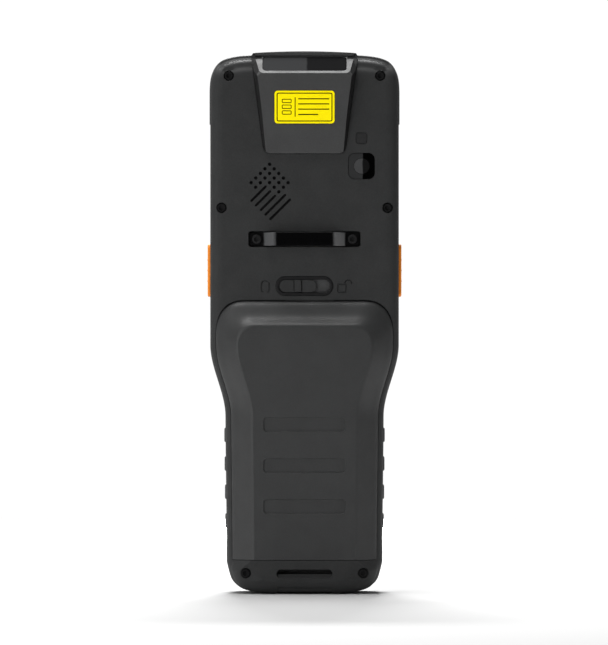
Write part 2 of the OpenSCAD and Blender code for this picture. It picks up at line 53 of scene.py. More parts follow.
def curve(pts):
    """Monotone smooth function through (x, y) points."""
    xs = [p[0] for p in pts]
    ys = [p[1] for p in pts]
    n = len(xs)
    h = [xs[i+1] - xs[i] for i in range(n-1)]
    d = [(ys[i+1] - ys[i])/h[i] for i in range(n-1)]
    m = [d[0]]
    for i in range(1, n-1):
        if d[i-1]*d[i] <= 0:
            m.append(0.0)
        else:
            a, b = 2*h[i] + h[i-1], h[i] + 2*h[i-1]
            m.append((a + b)/(a/d[i-1] + b/d[i]))
    m.append(d[-1])

    def f(x):
        x = min(xs[-1], max(xs[0], x))
        i = 0
        while i < n-2 and x > xs[i+1]:
            i += 1
        t = (x - xs[i])/h[i]
        return (ys[i]*(1 + 2*t)*(1-t)**2 + m[i]*h[i]*t*(1-t)**2
                + ys[i+1]*t*t*(3 - 2*t) + m[i+1]*h[i]*t*t*(t - 1))
    return f


def catmull(pts, per):
    """Closed centripetal spline; per(i) gives the steps of a segment."""
    out = []
    n = len(pts)
    for i in range(n):
        p = [Vector(pts[(i + k) % n]) for k in (-1, 0, 1, 2)]
        t = [0.0]
        for k in range(3):
            t.append(t[-1] + max(1e-6, (p[k+1] - p[k]).length**0.5))
        steps = per(i)
        for s in range(steps):
            u = t[1] + (t[2] - t[1])*s/steps
            a = [p[k]*((t[k+1] - u)/(t[k+1] - t[k]))
                 + p[k+1]*((u - t[k])/(t[k+1] - t[k])) for k in range(3)]
            b = [a[k]*((t[k+2] - u)/(t[k+2] - t[k]))
                 + a[k+1]*((u - t[k])/(t[k+2] - t[k])) for k in range(2)]
            out.append(tuple(b[0]*((t[2] - u)/(t[2] - t[1]))
                             + b[1]*((u - t[1])/(t[2] - t[1]))))
    return out


# ------------------------------------------------------------ case outline
FOOT = [(12.5, 0), (15.5, .2), (18.2, .5), (20.5, .9), (22.5, 1.5),
        (24.2, 2.4), (25.6, 3.6), (26.8, 5), (27.6, 7), (28.2, 9.2)]
HEAD = [(34.7, 189.5), (34.3, 191.7), (33.5, 193.8), (32.4, 195.6),
        (31, 196.9), (29.4, 197.7), (27, 198.4), (24, 198.9), (19.5, 199.2),
        (10, 199.4)]
SIDE_Z = [12, 14, 17, 21, 26, 32, 39, 46, 53, 59, 63, 66, 68.5, 71, 73.5, 76,
          78.5, 81, 83.5, 86, 88.5, 91, 94, 98, 104, 111, 119, 128, 138, 150,
          162, 172, 180, 186]


def make_outline():
    right = ([(4, 0), (8.5, 0)] + FOOT + [(hw(z), z) for z in SIDE_Z] + HEAD
             + [(5, 199.4)])
    half = catmull(right + [(-x, z) for x, z in reversed(right)],
                   lambda i: 3)
    k = len(half)//2 + 1
    out = []
    for x, z in half:
        if 12 <= z <= 186:
            x = math.copysign(hw(z), x)
        out.append((x, max(0.0, min(199.4, z))))
    return out


OUT = make_outline()


def normals(pts, smooth=2):
    n = len(pts)
    nn = []
    for i in range(n):
        a, b = Vector(pts[i-1]), Vector(pts[(i+1) % n])
        t = (b - a).normalized()
        nn.append(Vector((t.y, -t.x)))
    for _ in range(smooth):
        nn = [(nn[i-1] + nn[i]*2 + nn[(i+1) % n]).normalized()
              for i in range(n)]
    return nn


OUT_N = normals(OUT, 3)


def inset(d, pts=None, nrm=None):
    pts = pts or OUT
    nrm = nrm or OUT_N
    return [(p[0] - v.x*d, p[1] - v.y*d) for p, v in zip(pts, nrm)]


# ------------------------------------------------------------ plane shapes
def rr(w, h, r, n=8, at=(0, 0), rot=0.0):
    """Rounded rectangle, counter-clockwise."""
    r = max(0.02, min(r, w/2 - .001, h/2 - .001))
    out = []
    for k, (sx, sz) in enumerate([(1, -1), (1, 1), (-1, 1), (-1, -1)]):
        for i in range(n + 1):
            a = -PI/2 + k*PI/2 + (PI/2)*i/n
            out.append((sx*(w/2 - r) + r*math.cos(a),
                        sz*(h/2 - r) + r*math.sin(a)))
    c, s = math.cos(rot), math.sin(rot)
    return [(at[0] + x*c - z*s, at[1] + x*s + z*c) for x, z in out]


def rrf(w, h, r, n=8, at=(0, 0), rot=0.0):
    return lambda o: rr(w + 2*o, h + 2*o, r + o, n, at, rot)


def circ(d, n=40, at=(0, 0)):
    return [(at[0] + d/2*math.cos(2*PI*i/n), at[1] + d/2*math.sin(2*PI*i/n))
            for i in range(n)]


def circf(d, n=40, at=(0, 0)):
    return lambda o: circ(d + 2*o, n, at)


def round_poly(pts, radii, n=6):
    out = []
    m = len(pts)
    for i in range(m):
        p = Vector(pts[i])
        a = (Vector(pts[i-1]) - p)
        b = (Vector(pts[(i+1) % m]) - p)
        r = radii[i] if isinstance(radii, (list, tuple)) else radii
        la, lb = a.length, b.length
        a.normalize(), b.normalize()
        ang = a.angle(b)
        if r <= 0 or abs(ang - PI) < 0.02:
            out.append(tuple(p))
            continue
        t = min(r/math.tan(ang/2), la*0.48, lb*0.48)
        r = t*math.tan(ang/2)
        c = p + (a + b).normalized()*(r/math.sin(ang/2))
        s, e = p + a*t - c, p + b*t - c
        sa, ea = math.atan2(s.y, s.x), math.atan2(e.y, e.x)
        da = (ea - sa + PI) % (2*PI) - PI
        for k in range(n + 1):
            q = sa + da*k/n
            out.append((c.x + r*math.cos(q), c.y + r*math.sin(q)))
    return out


# ------------------------------------------------------------ solids, in mm
def loft(rings, wrap=False):
    """Rings of (x, y, z) points with the same count, capped or closed."""
    n, m = len(rings[0]), len(rings)
    v = [tuple(p) for r in rings for p in r]
    f = []
    for k in range(m if wrap else m-1):
        for i in range(n):
            j = (i+1) % n
            a, b = k*n, ((k+1) % m)*n
            f.append((a+i, a+j, b+j, b+i))
    if not wrap:
        f.append(tuple(range(n-1, -1, -1)))
        f.append(tuple((m-1)*n + i for i in range(n)))
    return v, f


def ring_y(pts, y):
    return [(p[0], y, p[1]) for p in pts]


def prism_y(pts, y0, y1):
    return loft([ring_y(pts, y0), ring_y(pts, y1)])


def prism_x(pts, x0, x1):
    return loft([[(x0, p[0], p[1]) for p in pts],
                 [(x1, p[0], p[1]) for p in pts]])


def prism_z(pts, z0, z1):
    return loft([[(p[0], p[1], z0) for p in pts],
                 [(p[0], p[1], z1) for p in pts]])


def box(a, b):
    return prism_z([(a[0], a[1]), (b[0], a[1]), (b[0], b[1]), (a[0], b[1])],
                   a[2], b[2])


def cyl_y(x, z, y0, y1, d, n=32):
    return prism_y(circ(d, n, (x, z)), y0, y1)


def move(m, mat):
    return [tuple(mat @ Vector(p)) for p in m[0]], m[1]


def join(*ms):
    v, f = [], []
    for m in ms:
        k = len(v)
        v += list(m[0])
        f += [tuple(i + k for i in q) for q in m[1]]
    return v, f


def pocket(fn, ys, yf, lip=.2, fr=0.0, out=.5, s=-1):
    """Cutter for a hollow in a face that looks along s*Y at ys, with its
    floor at yf, a rounded mouth and, with fr, a rounded foot."""
    rings = []
    if fr:
        for k in range(5):
            a = PI/2*k/4
            rings.append(ring_y(fn(-fr*(1 - math.sin(a))),
                                yf + s*fr*(1 - math.cos(a))))
    else:
        rings.append(ring_y(fn(0), yf))
    if lip:
        for k in range(6):
            a = math.radians(76)*k/5
            rings.append(ring_y(fn(lip*(1 - math.cos(a))),
                                ys - s*lip*(1 - math.sin(a))))
        a = math.radians(76)
        o = lip*(1 - math.cos(a)) + out*math.tan(a)
        rings.append(ring_y(fn(o), ys - s*lip*(1 - math.sin(a)) + s*out))
    else:
        rings.append(ring_y(fn(0), ys + s*out))
    return loft(rings)


def boss(fn, ya, yb, er=.3, s=-1, dome=0.0, n=5, foot=0.0):
    """Raised solid from ya to its face at yb, which looks along s*Y, with a
    rounded rim er wide; dome swells the face a little further."""
    rings = [ring_y(fn(foot), ya)]
    for k in range(n + 1):
        a = PI/2*k/n
        rings.append(ring_y(fn(-er*(1 - math.cos(a))),
                            yb - s*er*(1 - math.sin(a))))
    if dome:
        pts = fn(-er)
        cx = sum(p[0] for p in pts)/len(pts)
        cz = sum(p[1] for p in pts)/len(pts)
        for k in range(1, 7):
            q = 1 - k/7
            rings.append(ring_y([(cx + (p[0] - cx)*q, cz + (p[1] - cz)*q)
                                 for p in pts], yb + s*dome*(1 - q*q)))
    return loft(rings)


def stroke(path, w, h, y=-8.0, closed=False, deep=.08, s=-1):
    """Raised line on a flat face."""
    n = len(path)
    rings = []
    for i, p in enumerate(path):
        if closed:
            a, b = path[i-1], path[(i+1) % n]
        else:
            a, b = path[max(0, i-1)], path[min(n-1, i+1)]
        t = Vector((b[0] - a[0], b[1] - a[1])).normalized()
        q = Vector((t.y, -t.x))
        k = 1.0
        if 0 < i < n-1 or closed:
            u = (Vector(p) - Vector(path[i-1])).normalized()
            k = 1/max(.6, abs(u.dot(t)))
        rings.append([(p[0] + q.x*w*c*k, y + s*e, p[1] + q.y*w*c*k)
                      for c, e in ((-.5, -deep), (-.5, 0), (-.36, h*.7),
                                   (-.18, h), (.18, h), (.36, h*.7),
                                   (.5, 0), (.5, -deep))])
    return loft(rings, closed)


def arc(cx, cz, r, a0, a1, n=12):
    return [(cx + r*math.cos(math.radians(a0 + (a1 - a0)*i/n)),
             cz + r*math.sin(math.radians(a0 + (a1 - a0)*i/n)))
            for i in range(n + 1)]


# ------------------------------------------------------------ mesh tools
def to_mesh(m, name="tmp"):
    me = bpy.data.meshes.new(name)
    me.from_pydata([tuple(p) for p in m[0]], [], m[1])
    me.update()
    bm = bmesh.new()
    bm.from_mesh(me)
    bmesh.ops.remove_doubles(bm, verts=bm.verts, dist=1e-5)
    bmesh.ops.recalc_face_normals(bm, faces=bm.faces)
    bm.to_mesh(me)
    bm.free()
    return me


def back(me):
    return ([tuple(v.co) for v in me.vertices],
            [tuple(p.vertices) for p in me.polygons])


def csg(base, ops, label=""):
    """Boolean steps, each ("-", "+" or "*", solid), taken in order."""
    col = bpy.context.scene.collection
    objs = []
    o = bpy.data.objects.new("csg_base", to_mesh(base))
    col.objects.link(o)
    names = {"-": "DIFFERENCE", "+": "UNION", "*": "INTERSECT"}
    for k, (op, m) in enumerate(ops):
        t = bpy.data.objects.new("csg_tool", to_mesh(m))
        col.objects.link(t)
        objs.append(t)
        b = o.modifiers.new("b%d" % k, "BOOLEAN")
        b.operation = names[op]
        b.solver = "MANIFOLD"
        b.object = t
    dg = bpy.context.evaluated_depsgraph_get()
    dg.update()
    me = bpy.data.meshes.new_from_object(o.evaluated_get(dg))
    out = back(me)
    for t in objs + [o]:
        d = t.data
        bpy.data.objects.remove(t)
        bpy.data.meshes.remove(d)
    bm = bmesh.new()
    bm.from_mesh(me)
    bmesh.ops.remove_doubles(bm, verts=bm.verts, dist=2e-4)
    bmesh.ops.dissolve_degenerate(bm, edges=bm.edges, dist=2e-4)
    openings = sum(1 for e in bm.edges if len(e.link_faces) != 2)
    bm.to_mesh(me)
    bm.free()
    out = back(me)
    bpy.data.meshes.remove(me)
    print("csg", label, len(ops), "steps,", len(out[1]), "faces,",
          openings, "open edges")
    return out


def bevel(m, pick, width, segs=3):
    """Rounds the edges that pick(edge, angle) chooses."""
    me = to_mesh(m)
    bm = bmesh.new()
    bm.from_mesh(me)
    bmesh.ops.dissolve_limit(bm, angle_limit=math.radians(.4),
                             verts=bm.verts, edges=bm.edges)
    es = [e for e in bm.edges if len(e.link_faces) == 2
          and pick(e, math.degrees(e.calc_face_angle(0)))]
    bmesh.ops.bevel(bm, geom=es, offset=width, offset_type="OFFSET",
                    segments=segs, profile=.5, affect="EDGES",
                    clamp_overlap=True)
    bm.to_mesh(me)
    bm.free()
    out = back(me)
    bpy.data.meshes.remove(me)
    return out


def place(name, parts, body, mats, nodes=(), angle=33, wn=True,
          pick=None):
    """Makes the piece: parts is one solid, or a list with one per material;
    pick(centre in mm, normal) may choose another material for a face."""
    if isinstance(parts, tuple):
        parts = [parts]
    bm = bmesh.new()
    for k, m in enumerate(parts):
        me = to_mesh(m)
        n0 = len(bm.faces)
        bm.from_mesh(me)
        bm.faces.ensure_lookup_table()
        for f in bm.faces[n0:]:
            f.material_index = k
            if pick and k == 0:
                got = pick(f.calc_center_median(), f.normal)
                if got is not None:
                    f.material_index = got
        bpy.data.meshes.remove(me)
    bmesh.ops.scale(bm, vec=(.001, .001, .001), verts=bm.verts)
    for f in bm.faces:
        f.smooth = True
    me = bpy.data.meshes.new(name)
    bm.to_mesh(me)
    bm.free()
    o = bpy.data.objects.new(name, me)
    bpy.context.scene.collection.objects.link(o)
    me.set_sharp_from_angle(angle=math.radians(angle))
    for mt in (mats if isinstance(mats, (list, tuple)) else [mats]):
        me.materials.append(mt)
    if wn:
        w = o.modifiers.new("normals", "WEIGHTED_NORMAL")
        w.keep_sharp = True
        w.weight = 80
    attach(o, body)
    if nodes:
        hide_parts(*nodes)
    return o


# ------------------------------------------------------------ materials
class Nodes:
    """Short way to write a node tree."""
    def __init__(self, name):
        self.m = bpy.data.materials.new(name)
        self.m.use_nodes = True
        self.t = self.m.node_tree
        self.b = self.t.nodes["Principled BSDF"]
        self.co = self.t.nodes.new("ShaderNodeTexCoord").outputs["Object"]

    def n(self, kind, **kw):
        x = self.t.nodes.new(kind)
        ins = kw.pop("ins", {})
        for k, v in kw.items():
            setattr(x, k, v)
        for k, v in ins.items():
            if hasattr(v, "is_linked"):
                self.t.links.new(v, x.inputs[k])
            else:
                x.inputs[k].default_value = v
        return x

    def noise(self, mm, detail=2.0, rough=.5, src=None):
        """Noise whose cells are about mm wide."""
        return self.n("ShaderNodeTexNoise", ins={
            "Vector": src or self.co, "Scale": 1000.0/mm, "Detail": detail,
            "Roughness": rough}).outputs["Fac"]

    def ramp(self, fac, stops):
        r = self.n("ShaderNodeValToRGB", ins={"Fac": fac})
        e = r.color_ramp.elements
        while len(e) < len(stops):
            e.new(.5)
        for k, (p, c) in enumerate(stops):
            e[k].position = p
            e[k].color = tuple(c)[:3] + (1,)
        return r.outputs["Color"]

    def maprange(self, fac, a, b, c, d):
        return self.n("ShaderNodeMapRange", ins={
            "Value": fac, "From Min": a, "From Max": b, "To Min": c,
            "To Max": d}).outputs["Result"]

    def math(self, op, a, b=0.0, c=None):
        ins = {0: a, 1: b}
        if c is not None:
            ins[2] = c
        return self.n("ShaderNodeMath", operation=op, ins=ins).outputs[0]

    def mix(self, fac, a, b):
        x = self.n("ShaderNodeMix", data_type="RGBA")
        for k, v in ((0, fac), (6, a), (7, b)):
            if hasattr(v, "is_linked"):
                self.t.links.new(v, x.inputs[k])
            else:
                x.inputs[k].default_value = v if k == 0 else tuple(v)[:3] + (1,)
        return x.outputs[2]

    def bump(self, h, mm, strength=1.0, prev=None):
        ins = {"Height": h, "Distance": mm*.001, "Strength": strength}
        if prev is not None:
            ins["Normal"] = prev
        return self.n("ShaderNodeBump", ins=ins).outputs["Normal"]

    def set(self, name, v):
        if hasattr(v, "is_linked"):
            self.t.links.new(v, self.b.inputs[name])
        else:
            self.b.inputs[name].default_value = v

    def xyz(self):
        s = self.n("ShaderNodeSeparateXYZ", ins={0: self.co})
        return s.outputs[0], s.outputs[1], s.outputs[2]


def plastic(name, col, rough=.5, grain=.22, deep=.012, var=.12, spec=.5,
            coat=0.0, blotch=9.0, metal=0.0):
    """Moulded plastic or rubber: fine spark-eroded grain, faint mottling."""
    k = Nodes(name)
    a = k.noise(blotch, 3, .55)
    f = k.noise(grain*1.7, 2, .6)
    lo = [c*(1 - var) for c in col]
    hi = [min(1, c*(1 + var)) for c in col]
    base = k.ramp(a, [(.35, lo), (.65, hi)])
    spk = k.ramp(f, [(.3, [c*.82 for c in col]), (.7, [c*1.2 for c in col])])
    k.set("Base Color", k.mix(.5, base, spk))
    k.set("Roughness", k.maprange(k.noise(4.0, 4, .6), .3, .7,
                                  max(0, rough - .05), min(1, rough + .05)))
    g = k.noise(grain, 1, .5)
    b = k.bump(g, deep, .9)
    k.set("Normal", k.bump(k.noise(14.0, 1, .4), .03, .5, b))
    k.set("Specular IOR Level", spec)
    k.set("Metallic", metal)
    if coat:
        k.set("Coat Weight", coat)
        k.set("Coat Roughness", .12)
    return k.m


M = {}
M["body"] = plastic("body_plastic", (.0275, .0280, .0282), .60, .24, .009,
                    spec=.14)
M["cover"] = plastic("cover_plastic", (.036, .0365, .0368), .50, .24, .014,
                     spec=.35)
M["door"] = plastic("door_plastic", (.0258, .0263, .0265), .485, .24, .014,
                    spec=.32)
M["frontp"] = plastic("front_plastic", (.027, .0275, .0278), .50, .22, .012,
                      spec=.35)
M["rubber"] = plastic("rubber_grey", (.060, .062, .064), .72, .3, .02,
                      spec=.35)
M["bumper"] = plastic("rubber_bumper", (.040, .041, .043), .70, .3, .02,
                      spec=.35)
M["rubber_dark"] = plastic("rubber_dark", (.018, .019, .020), .75, .3, .02,
                           spec=.3)
M["orange"] = plastic("orange_plastic", (.80, .235, .018), .52, .26, .008,
                      var=.05, spec=.28, blotch=6)
M["key"] = plastic("key_plastic", (.055, .058, .062), .50, .25, .008)
M["gloss"] = plastic("gloss_black", (.0016, .0016, .0018), .2, .5, .002,
                     var=.2, spec=.10)
M["bezel"] = plastic("bezel_black", (.0062, .0062, .0066), .5, .3, .006,
                     spec=.16)
M["screw"] = plastic("screw_black", (.0052, .0052, .0055), .6, .2, .006,
                     spec=.12)
# painted shade: darker colour for the scan cover's steep side walls and the
# strips beside its window
M["cheek"] = plastic("cover_wall_painted_shade", (.0125, .0126, .0128), .66, .24, .012,
                     spec=.14)
# painted shade: darker, nearly glossless colour for the scan cover's top edge,
# which would otherwise catch the light
M["crest"] = plastic("cover_top_painted_shade", (.0150, .0152, .0155), .75, .24, .008,
                     spec=.02)
M["bow_screw"] = plastic("bow_screw_black", (.0098, .0098, .0102), .6, .2,
                         .006, spec=.12)
M["plate"] = plastic("plate_plastic", (.041, .0415, .042), .52, .24, .012,
                     spec=.3)
# painted shade: near-black colour for the inside walls of the sound holes and
# slots
M["hole"] = plastic("hole_wall_painted_shade", (.0022, .0022, .0023), .9, .3, .004,
                    spec=.02)
M["silicone"] = plastic("silicone", (.42, .43, .44), .6, .3, .01, var=.05)
M["print_light"] = plastic("print_light", (.62, .63, .64), .5, .2, .003,
                           var=.04)
M["print_dark"] = plastic("print_dark", (.004, .0035, .001), .7, .2, .003,
                          var=.1, spec=.04)


def label_mat():
    k = Nodes("label_yellow")
    f = k.noise(.35, 3, .6)
    base = k.ramp(f, [(.3, (.93, .75, 0.0)), (.7, (.97, .82, 0.0))])
    big = k.ramp(k.noise(6.0, 2, .5), [(.3, (.98, .80, 0.0)),
                                       (.7, (1.0, .86, 0.0))])
    k.set("Base Color", k.mix(.5, base, big))
    k.set("Roughness", k.maprange(f, .3, .7, .36, .46))
    k.set("Normal", k.bump(k.noise(.9, 2, .5), .006, .6))
    k.set("Specular IOR Level", .08)
    # painted glow: the emission makes the yellow brighter than the lamps light
    # it
    k.set("Emission Color", (1.0, .84, 0.0, 1))
    k.set("Emission Strength", .10)
    return k.m


M["label"] = label_mat()


def bow_mat():
    """Strap bar: gloss black on top, rougher on its two legs; the legs' lighter
    colour is a painted reflection of the bright sides, and the right leg is
    painted lighter still as painted light against its shade.
    """
    k = Nodes("bow_black")
    x, y, z = k.xyz()
    ax = k.math("ABSOLUTE", k.math("MULTIPLY", x, 1000.0))
    ax = k.math("ADD", ax, k.maprange(k.noise(2.0, 2), .3, .7, -.12, .12))
    leg = k.math("MULTIPLY", k.maprange(ax, 10.3, 11.7, 0.0, 1.0),
                 k.maprange(ax, 14.7, 15.3, 1.0, 0.0))
    # painted light: this mask gives the right leg a lighter tone than the left,
    # to offset the shade it falls in
    right = k.maprange(x, -.001, .001, 0.0, 1.0)
    f = k.noise(.5, 3, .6)
    dark = k.ramp(f, [(.3, (.0012, .0012, .0013)), (.7, (.002, .002, .0022))])
    # painted reflection: the leg tones below stand in for the bright
    # surroundings the glossy legs would mirror
    left_leg_painted_reflection = k.ramp(f, [(.3, (.072, .073, .075)), (.7, (.086, .087, .089))])
    right_leg_painted_reflection = k.ramp(f, [(.3, (.138, .139, .141)), (.7, (.160, .161, .163))])
    foot = k.ramp(f, [(.3, (.0050, .0050, .0052)), (.7, (.007, .007, .0073))])
    dark = k.mix(k.maprange(ax, 14.9, 15.4, 0.0, 1.0), dark, foot)
    k.set("Base Color", k.mix(leg, dark, k.mix(right, left_leg_painted_reflection, right_leg_painted_reflection)))
    k.set("Roughness", k.maprange(leg, 0.0, 1.0, .22, .46))
    k.set("Normal", k.bump(k.noise(.5, 1, .5), .002, .8))
    k.set("Specular IOR Level", .05)
    return k.m


M["bow"] = bow_mat()


def brushed(name, col, rough, metal=1.0, axis=0):
    """Metal with fine lines along one axis."""
    k = Nodes(name)
    mp = k.n("ShaderNodeMapping", ins={"Vector": k.co})
    sc = [1.0, 1.0, 1.0]
    sc[axis] = .06
    mp.inputs["Scale"].default_value = sc
    f = k.n("ShaderNodeTexNoise", ins={"Vector": mp.outputs[0],
            "Scale": 5200.0, "Detail": 3.0}).outputs["Fac"]
    k.set("Base Color", k.ramp(f, [(.3, [c*.86 for c in col]),
                                   (.7, [min(1, c*1.1) for c in col])]))
    k.set("Roughness", k.maprange(f, .3, .7, rough - .06, rough + .08))
    k.set("Metallic", metal)
    k.set("Normal", k.bump(f, .004, .6))
    return k.m


M["metal"] = brushed("sheet_metal", (.62, .63, .64), .34)
M["contact"] = brushed("contact_gold", (.83, .60, .25), .28, axis=2)
M["mesh"] = None


def mesh_mat(name, pitch, col, hole):
    """Punched dust mesh: round holes in rows."""
    k = Nodes(name)
    x, y, z = k.xyz()
    a = k.math("MULTIPLY", x, 1000.0/pitch)
    b = k.math("MULTIPLY", z, 1000.0/(pitch*.866))
    row = k.math("FLOOR", b)
    a2 = k.math("ADD", a, k.math("MULTIPLY", k.math("MODULO", row, 2.0), .5))
    fa = k.math("SUBTRACT", k.math("FRACT", a2), .5)
    fb = k.math("SUBTRACT", k.math("FRACT", b), .5)
    d = k.math("SQRT", k.math("ADD", k.math("MULTIPLY", fa, fa),
                              k.math("MULTIPLY", fb, fb)))
    k.set("Base Color", k.ramp(d, [(.24, hole), (.34, col)]))
    k.set("Roughness", k.maprange(d, .2, .4, .7, .4))
    k.set("Metallic", .6)
    k.set("Normal", k.bump(d, .03, .7))
    return k.m


M["mesh"] = mesh_mat("dust_mesh", .42, (.006, .006, .0065),
                     (.001, .001, .001))


def board_mat():
    """Circuit board: green solder mask over faint tracks, gold pads."""
    k = Nodes("circuit_board")
    br = k.n("ShaderNodeTexBrick", ins={"Vector": k.co, "Scale": 190.0,
             "Color1": (.012, .070, .028, 1), "Color2": (.010, .055, .024, 1),
             "Mortar": (.018, .11, .045, 1), "Mortar Size": .035,
             "Brick Width": .9, "Row Height": .35})
    v = k.n("ShaderNodeTexVoronoi", ins={"Vector": k.co, "Scale": 330.0})
    pad = k.ramp(v.outputs["Distance"], [(.13, (.70, .50, .20)),
                                         (.17, (.012, .065, .028))])
    m = k.ramp(v.outputs["Distance"], [(.14, (1, 1, 1)), (.16, (0, 0, 0))])
    k.set("Base Color", k.mix(m, br.outputs["Color"], pad))
    k.set("Roughness", k.maprange(v.outputs["Distance"], .1, .3, .3, .46))
    k.set("Normal", k.bump(br.outputs["Fac"], .02, .5))
    return k.m


M["board"] = board_mat()
M["module"] = plastic("module_black", (.022, .022, .023), .45, .3, .01)


def battery_mat():
    """Battery: pale shrink-wrap with a dark plain band."""
    k = Nodes("battery_wrap")
    x, y, z = k.xyz()
    zz = k.math("MULTIPLY", z, 1000.0)
    band = k.ramp(k.maprange(zz, 26.0, 92.0, 0, 1),
                  [(.0, (.05, .052, .055)), (.012, (.46, .47, .48)),
                   (.985, (.46, .47, .48)), (1.0, (.05, .052, .055))])
    k.set("Base Color", k.mix(k.maprange(k.noise(.5, 3), .3, .7, 0, .12),
                              band, (.28, .29, .30)))
    k.set("Roughness", k.maprange(k.noise(3.0, 3), .3, .7, .32, .44))
    k.set("Normal", k.bump(k.noise(5.0, 3), .05, .6))
    return k.m


M["battery"] = battery_mat()


def window_mat(name, reflection_split, light, dark, soft, rough=.08, disc=None,
               spec=.06):
    """Dark glass whose left side is painted lighter, a painted reflection of a
    bright panel; disc is the lens behind it, (x, z, radius, light, dark), its
    two tones split by the same painted reflection."""
    k = Nodes(name)
    x, y, z = k.xyz()
    xm = k.math("MULTIPLY", x, 1000.0)
    xm = k.math("ADD", xm, k.maprange(k.noise(3.0, 2), .3, .7, -.15, .15))
    # painted reflection: the glass is lighter to the left of the split
    f = k.maprange(xm, reflection_split - soft, reflection_split + soft, 0.0, 1.0)
    c = k.ramp(f, [(0.0, light), (1.0, dark)])
    if disc:
        dx = k.math("SUBTRACT", k.math("MULTIPLY", x, 1000.0), disc[0])
        dz = k.math("SUBTRACT", k.math("MULTIPLY", z, 1000.0), disc[1])
        r = k.math("SQRT", k.math("ADD", k.math("MULTIPLY", dx, dx),
                                  k.math("MULTIPLY", dz, dz)))
        on = k.maprange(r, disc[2] - .12, disc[2] + .12, 1.0, 0.0)
        c = k.mix(on, c, k.ramp(f, [(0.0, disc[3]), (1.0, disc[4])]))
    k.set("Base Color", c)
    k.set("Roughness", k.maprange(k.noise(2.0, 3), .3, .7, rough,
                                  rough + .05))
    k.set("Specular IOR Level", spec)
    return k.m


# scan window: left half lighter as a painted reflection
M["scan_glass"] = window_mat("scan_glass", .9, (.033, .0335, .0345),
                             (.0098, .0098, .0102), .3, .3, spec=.0)
# camera window: left part, and the lens's left part, lighter as a painted
# reflection
M["cam_glass"] = window_mat("camera_glass", 21.45, (.030, .0305, .031),
                            (.0004, .0004, .0004), .12,
                            disc=(21.1, 158.0, 2.85, (.056, .0565, .058),
                                  (.0070, .0070, .0072)), spec=.04)
M["flash_glass"] = plastic("flash_glass", (.025, .025, .0255), .3, .6, .004,
                           spec=.1)


def display_mat():
    """Glass over a dark display with a black printed border."""
    k = Nodes("display_glass")
    x, y, z = k.xyz()
    ax = k.math("ABSOLUTE", k.math("MULTIPLY", x, 1000.0))
    az = k.math("ABSOLUTE", k.math("SUBTRACT",
                                   k.math("MULTIPLY", z, 1000.0), 145.5))
    e = k.math("MAXIMUM", k.math("SUBTRACT", ax, 23.6),
               k.math("SUBTRACT", az, 36.4))
    k.set("Base Color", k.ramp(k.maprange(e, -.15, .15, 0, 1),
                               [(0, (.014, .016, .019)),
                                (1, (.003, .003, .0035))]))
    k.set("Roughness", k.maprange(k.noise(6.0, 3), .3, .7, .05, .10))
    k.set("Specular IOR Level", .5)
    return k.m


M["display"] = display_mat()


# ============================================================ rear housing
BACK = -8.0
CASE_SCREWS = [(28, 191.4, 5.8), (-28, 191.4, 5.8), (30.7, 142.6, 5.8),
               (-30.7, 142.6, 5.8), (21.7, 7.7, 9.6), (-21.7, 7.7, 9.6)]
BAR_Z, LOCK_Z, CAM_X, CAM_Z, FLASH_Z = 131.0, 113.7, 21.1, 158.0, 168.3
SPK_X, SPK_Z = -12.9, 148.8
GRIP_Z = [58.55, 47.95, 37.5, 26.85]


def limit(pts, nrm):
    """How far each point of the outline can move in before the ring folds."""
    n = len(pts)
    r = []
    for i in range(n):
        a, b = nrm[i-3], nrm[(i+3) % n]
        turn = a.angle(b)
        arc = sum((Vector(pts[(i+k) % n]) - Vector(pts[(i+k-1) % n])).length
                  for k in range(-2, 4))
        r.append(arc/turn if turn > .02 else 99.0)
    for _ in range(4):
        r = [min(r[i], (r[i-1] + r[i] + r[(i+1) % n])/3 + .4)
             for i in range(n)]
    return r


OUT_R = limit(OUT, OUT_N)


def soft_inset(d):
    out = []
    for p, v, r in zip(OUT, OUT_N, OUT_R):
        q = d if d < .45*r else .45*r + (d - .45*r)*.45
        q = min(q, .8*r)
        out.append((p[0] - v.x*q, p[1] - v.y*q))
    return out


def rear_rings():
    """Rear shell from the joint to the back; the upper case has a double
    shoulder, the grip a plain round."""
    plain = curve([(0, 4.0), (.06, 4.6), (.5, 5.9), (1.0, 6.65),
                   (1.7, 7.25), (3.0, 7.8), (5.0, 8.0), (8.2, 8.001)])
    step = curve([(0, 3.2), (.12, 3.5), (.45, 3.76), (.85, 3.84),
                  (1.15, 4.1), (1.45, 4.62), (1.9, 5.38), (2.3, 5.95),
                  (2.75, 6.36), (3.4, 6.54), (4.1, 6.68), (4.8, 7.02),
                  (5.5, 7.48), (6.2, 7.80), (7.1, 7.95), (8.2, 8.001)])
    rings = [ring_y(inset(d), y) for y, d in ((4.4, .25), (4.32, .07),
                                              (4.15, 0), (-3.1, 0))]
    for d in (0.0, .05, .12, .25, .45, .65, .85, 1.0, 1.15, 1.3, 1.5, 1.75,
              2.0, 2.25, 2.5, 2.8, 3.2, 3.6, 4.0, 4.4, 4.8, 5.2, 5.6, 6.1,
              6.6, 7.2, 8.2):
        r = []
        for (x, z), (u, w), v in zip(soft_inset(d), OUT, OUT_N):
            s = sst((v.y - .25)/.55) if w > 150 else 0.0
            r.append((x, -(plain(d)*(1 - s) + step(d)*s), z))
        rings.append(r)
    return rings


def case_block(y0, y1, d):
    return prism_y(inset(d), y0, y1)


def flat_at(z):
    return 15 - 2.5*(98.5 - z)/86


P_OF_T = curve([(0, 0), (.06, .13), (.13, .22), (.3, .345), (.5, .475),
                (.62, .575), (.72, .69), (.8, .805), (.88, .918),
                (.95, .982), (1.02, 1)])
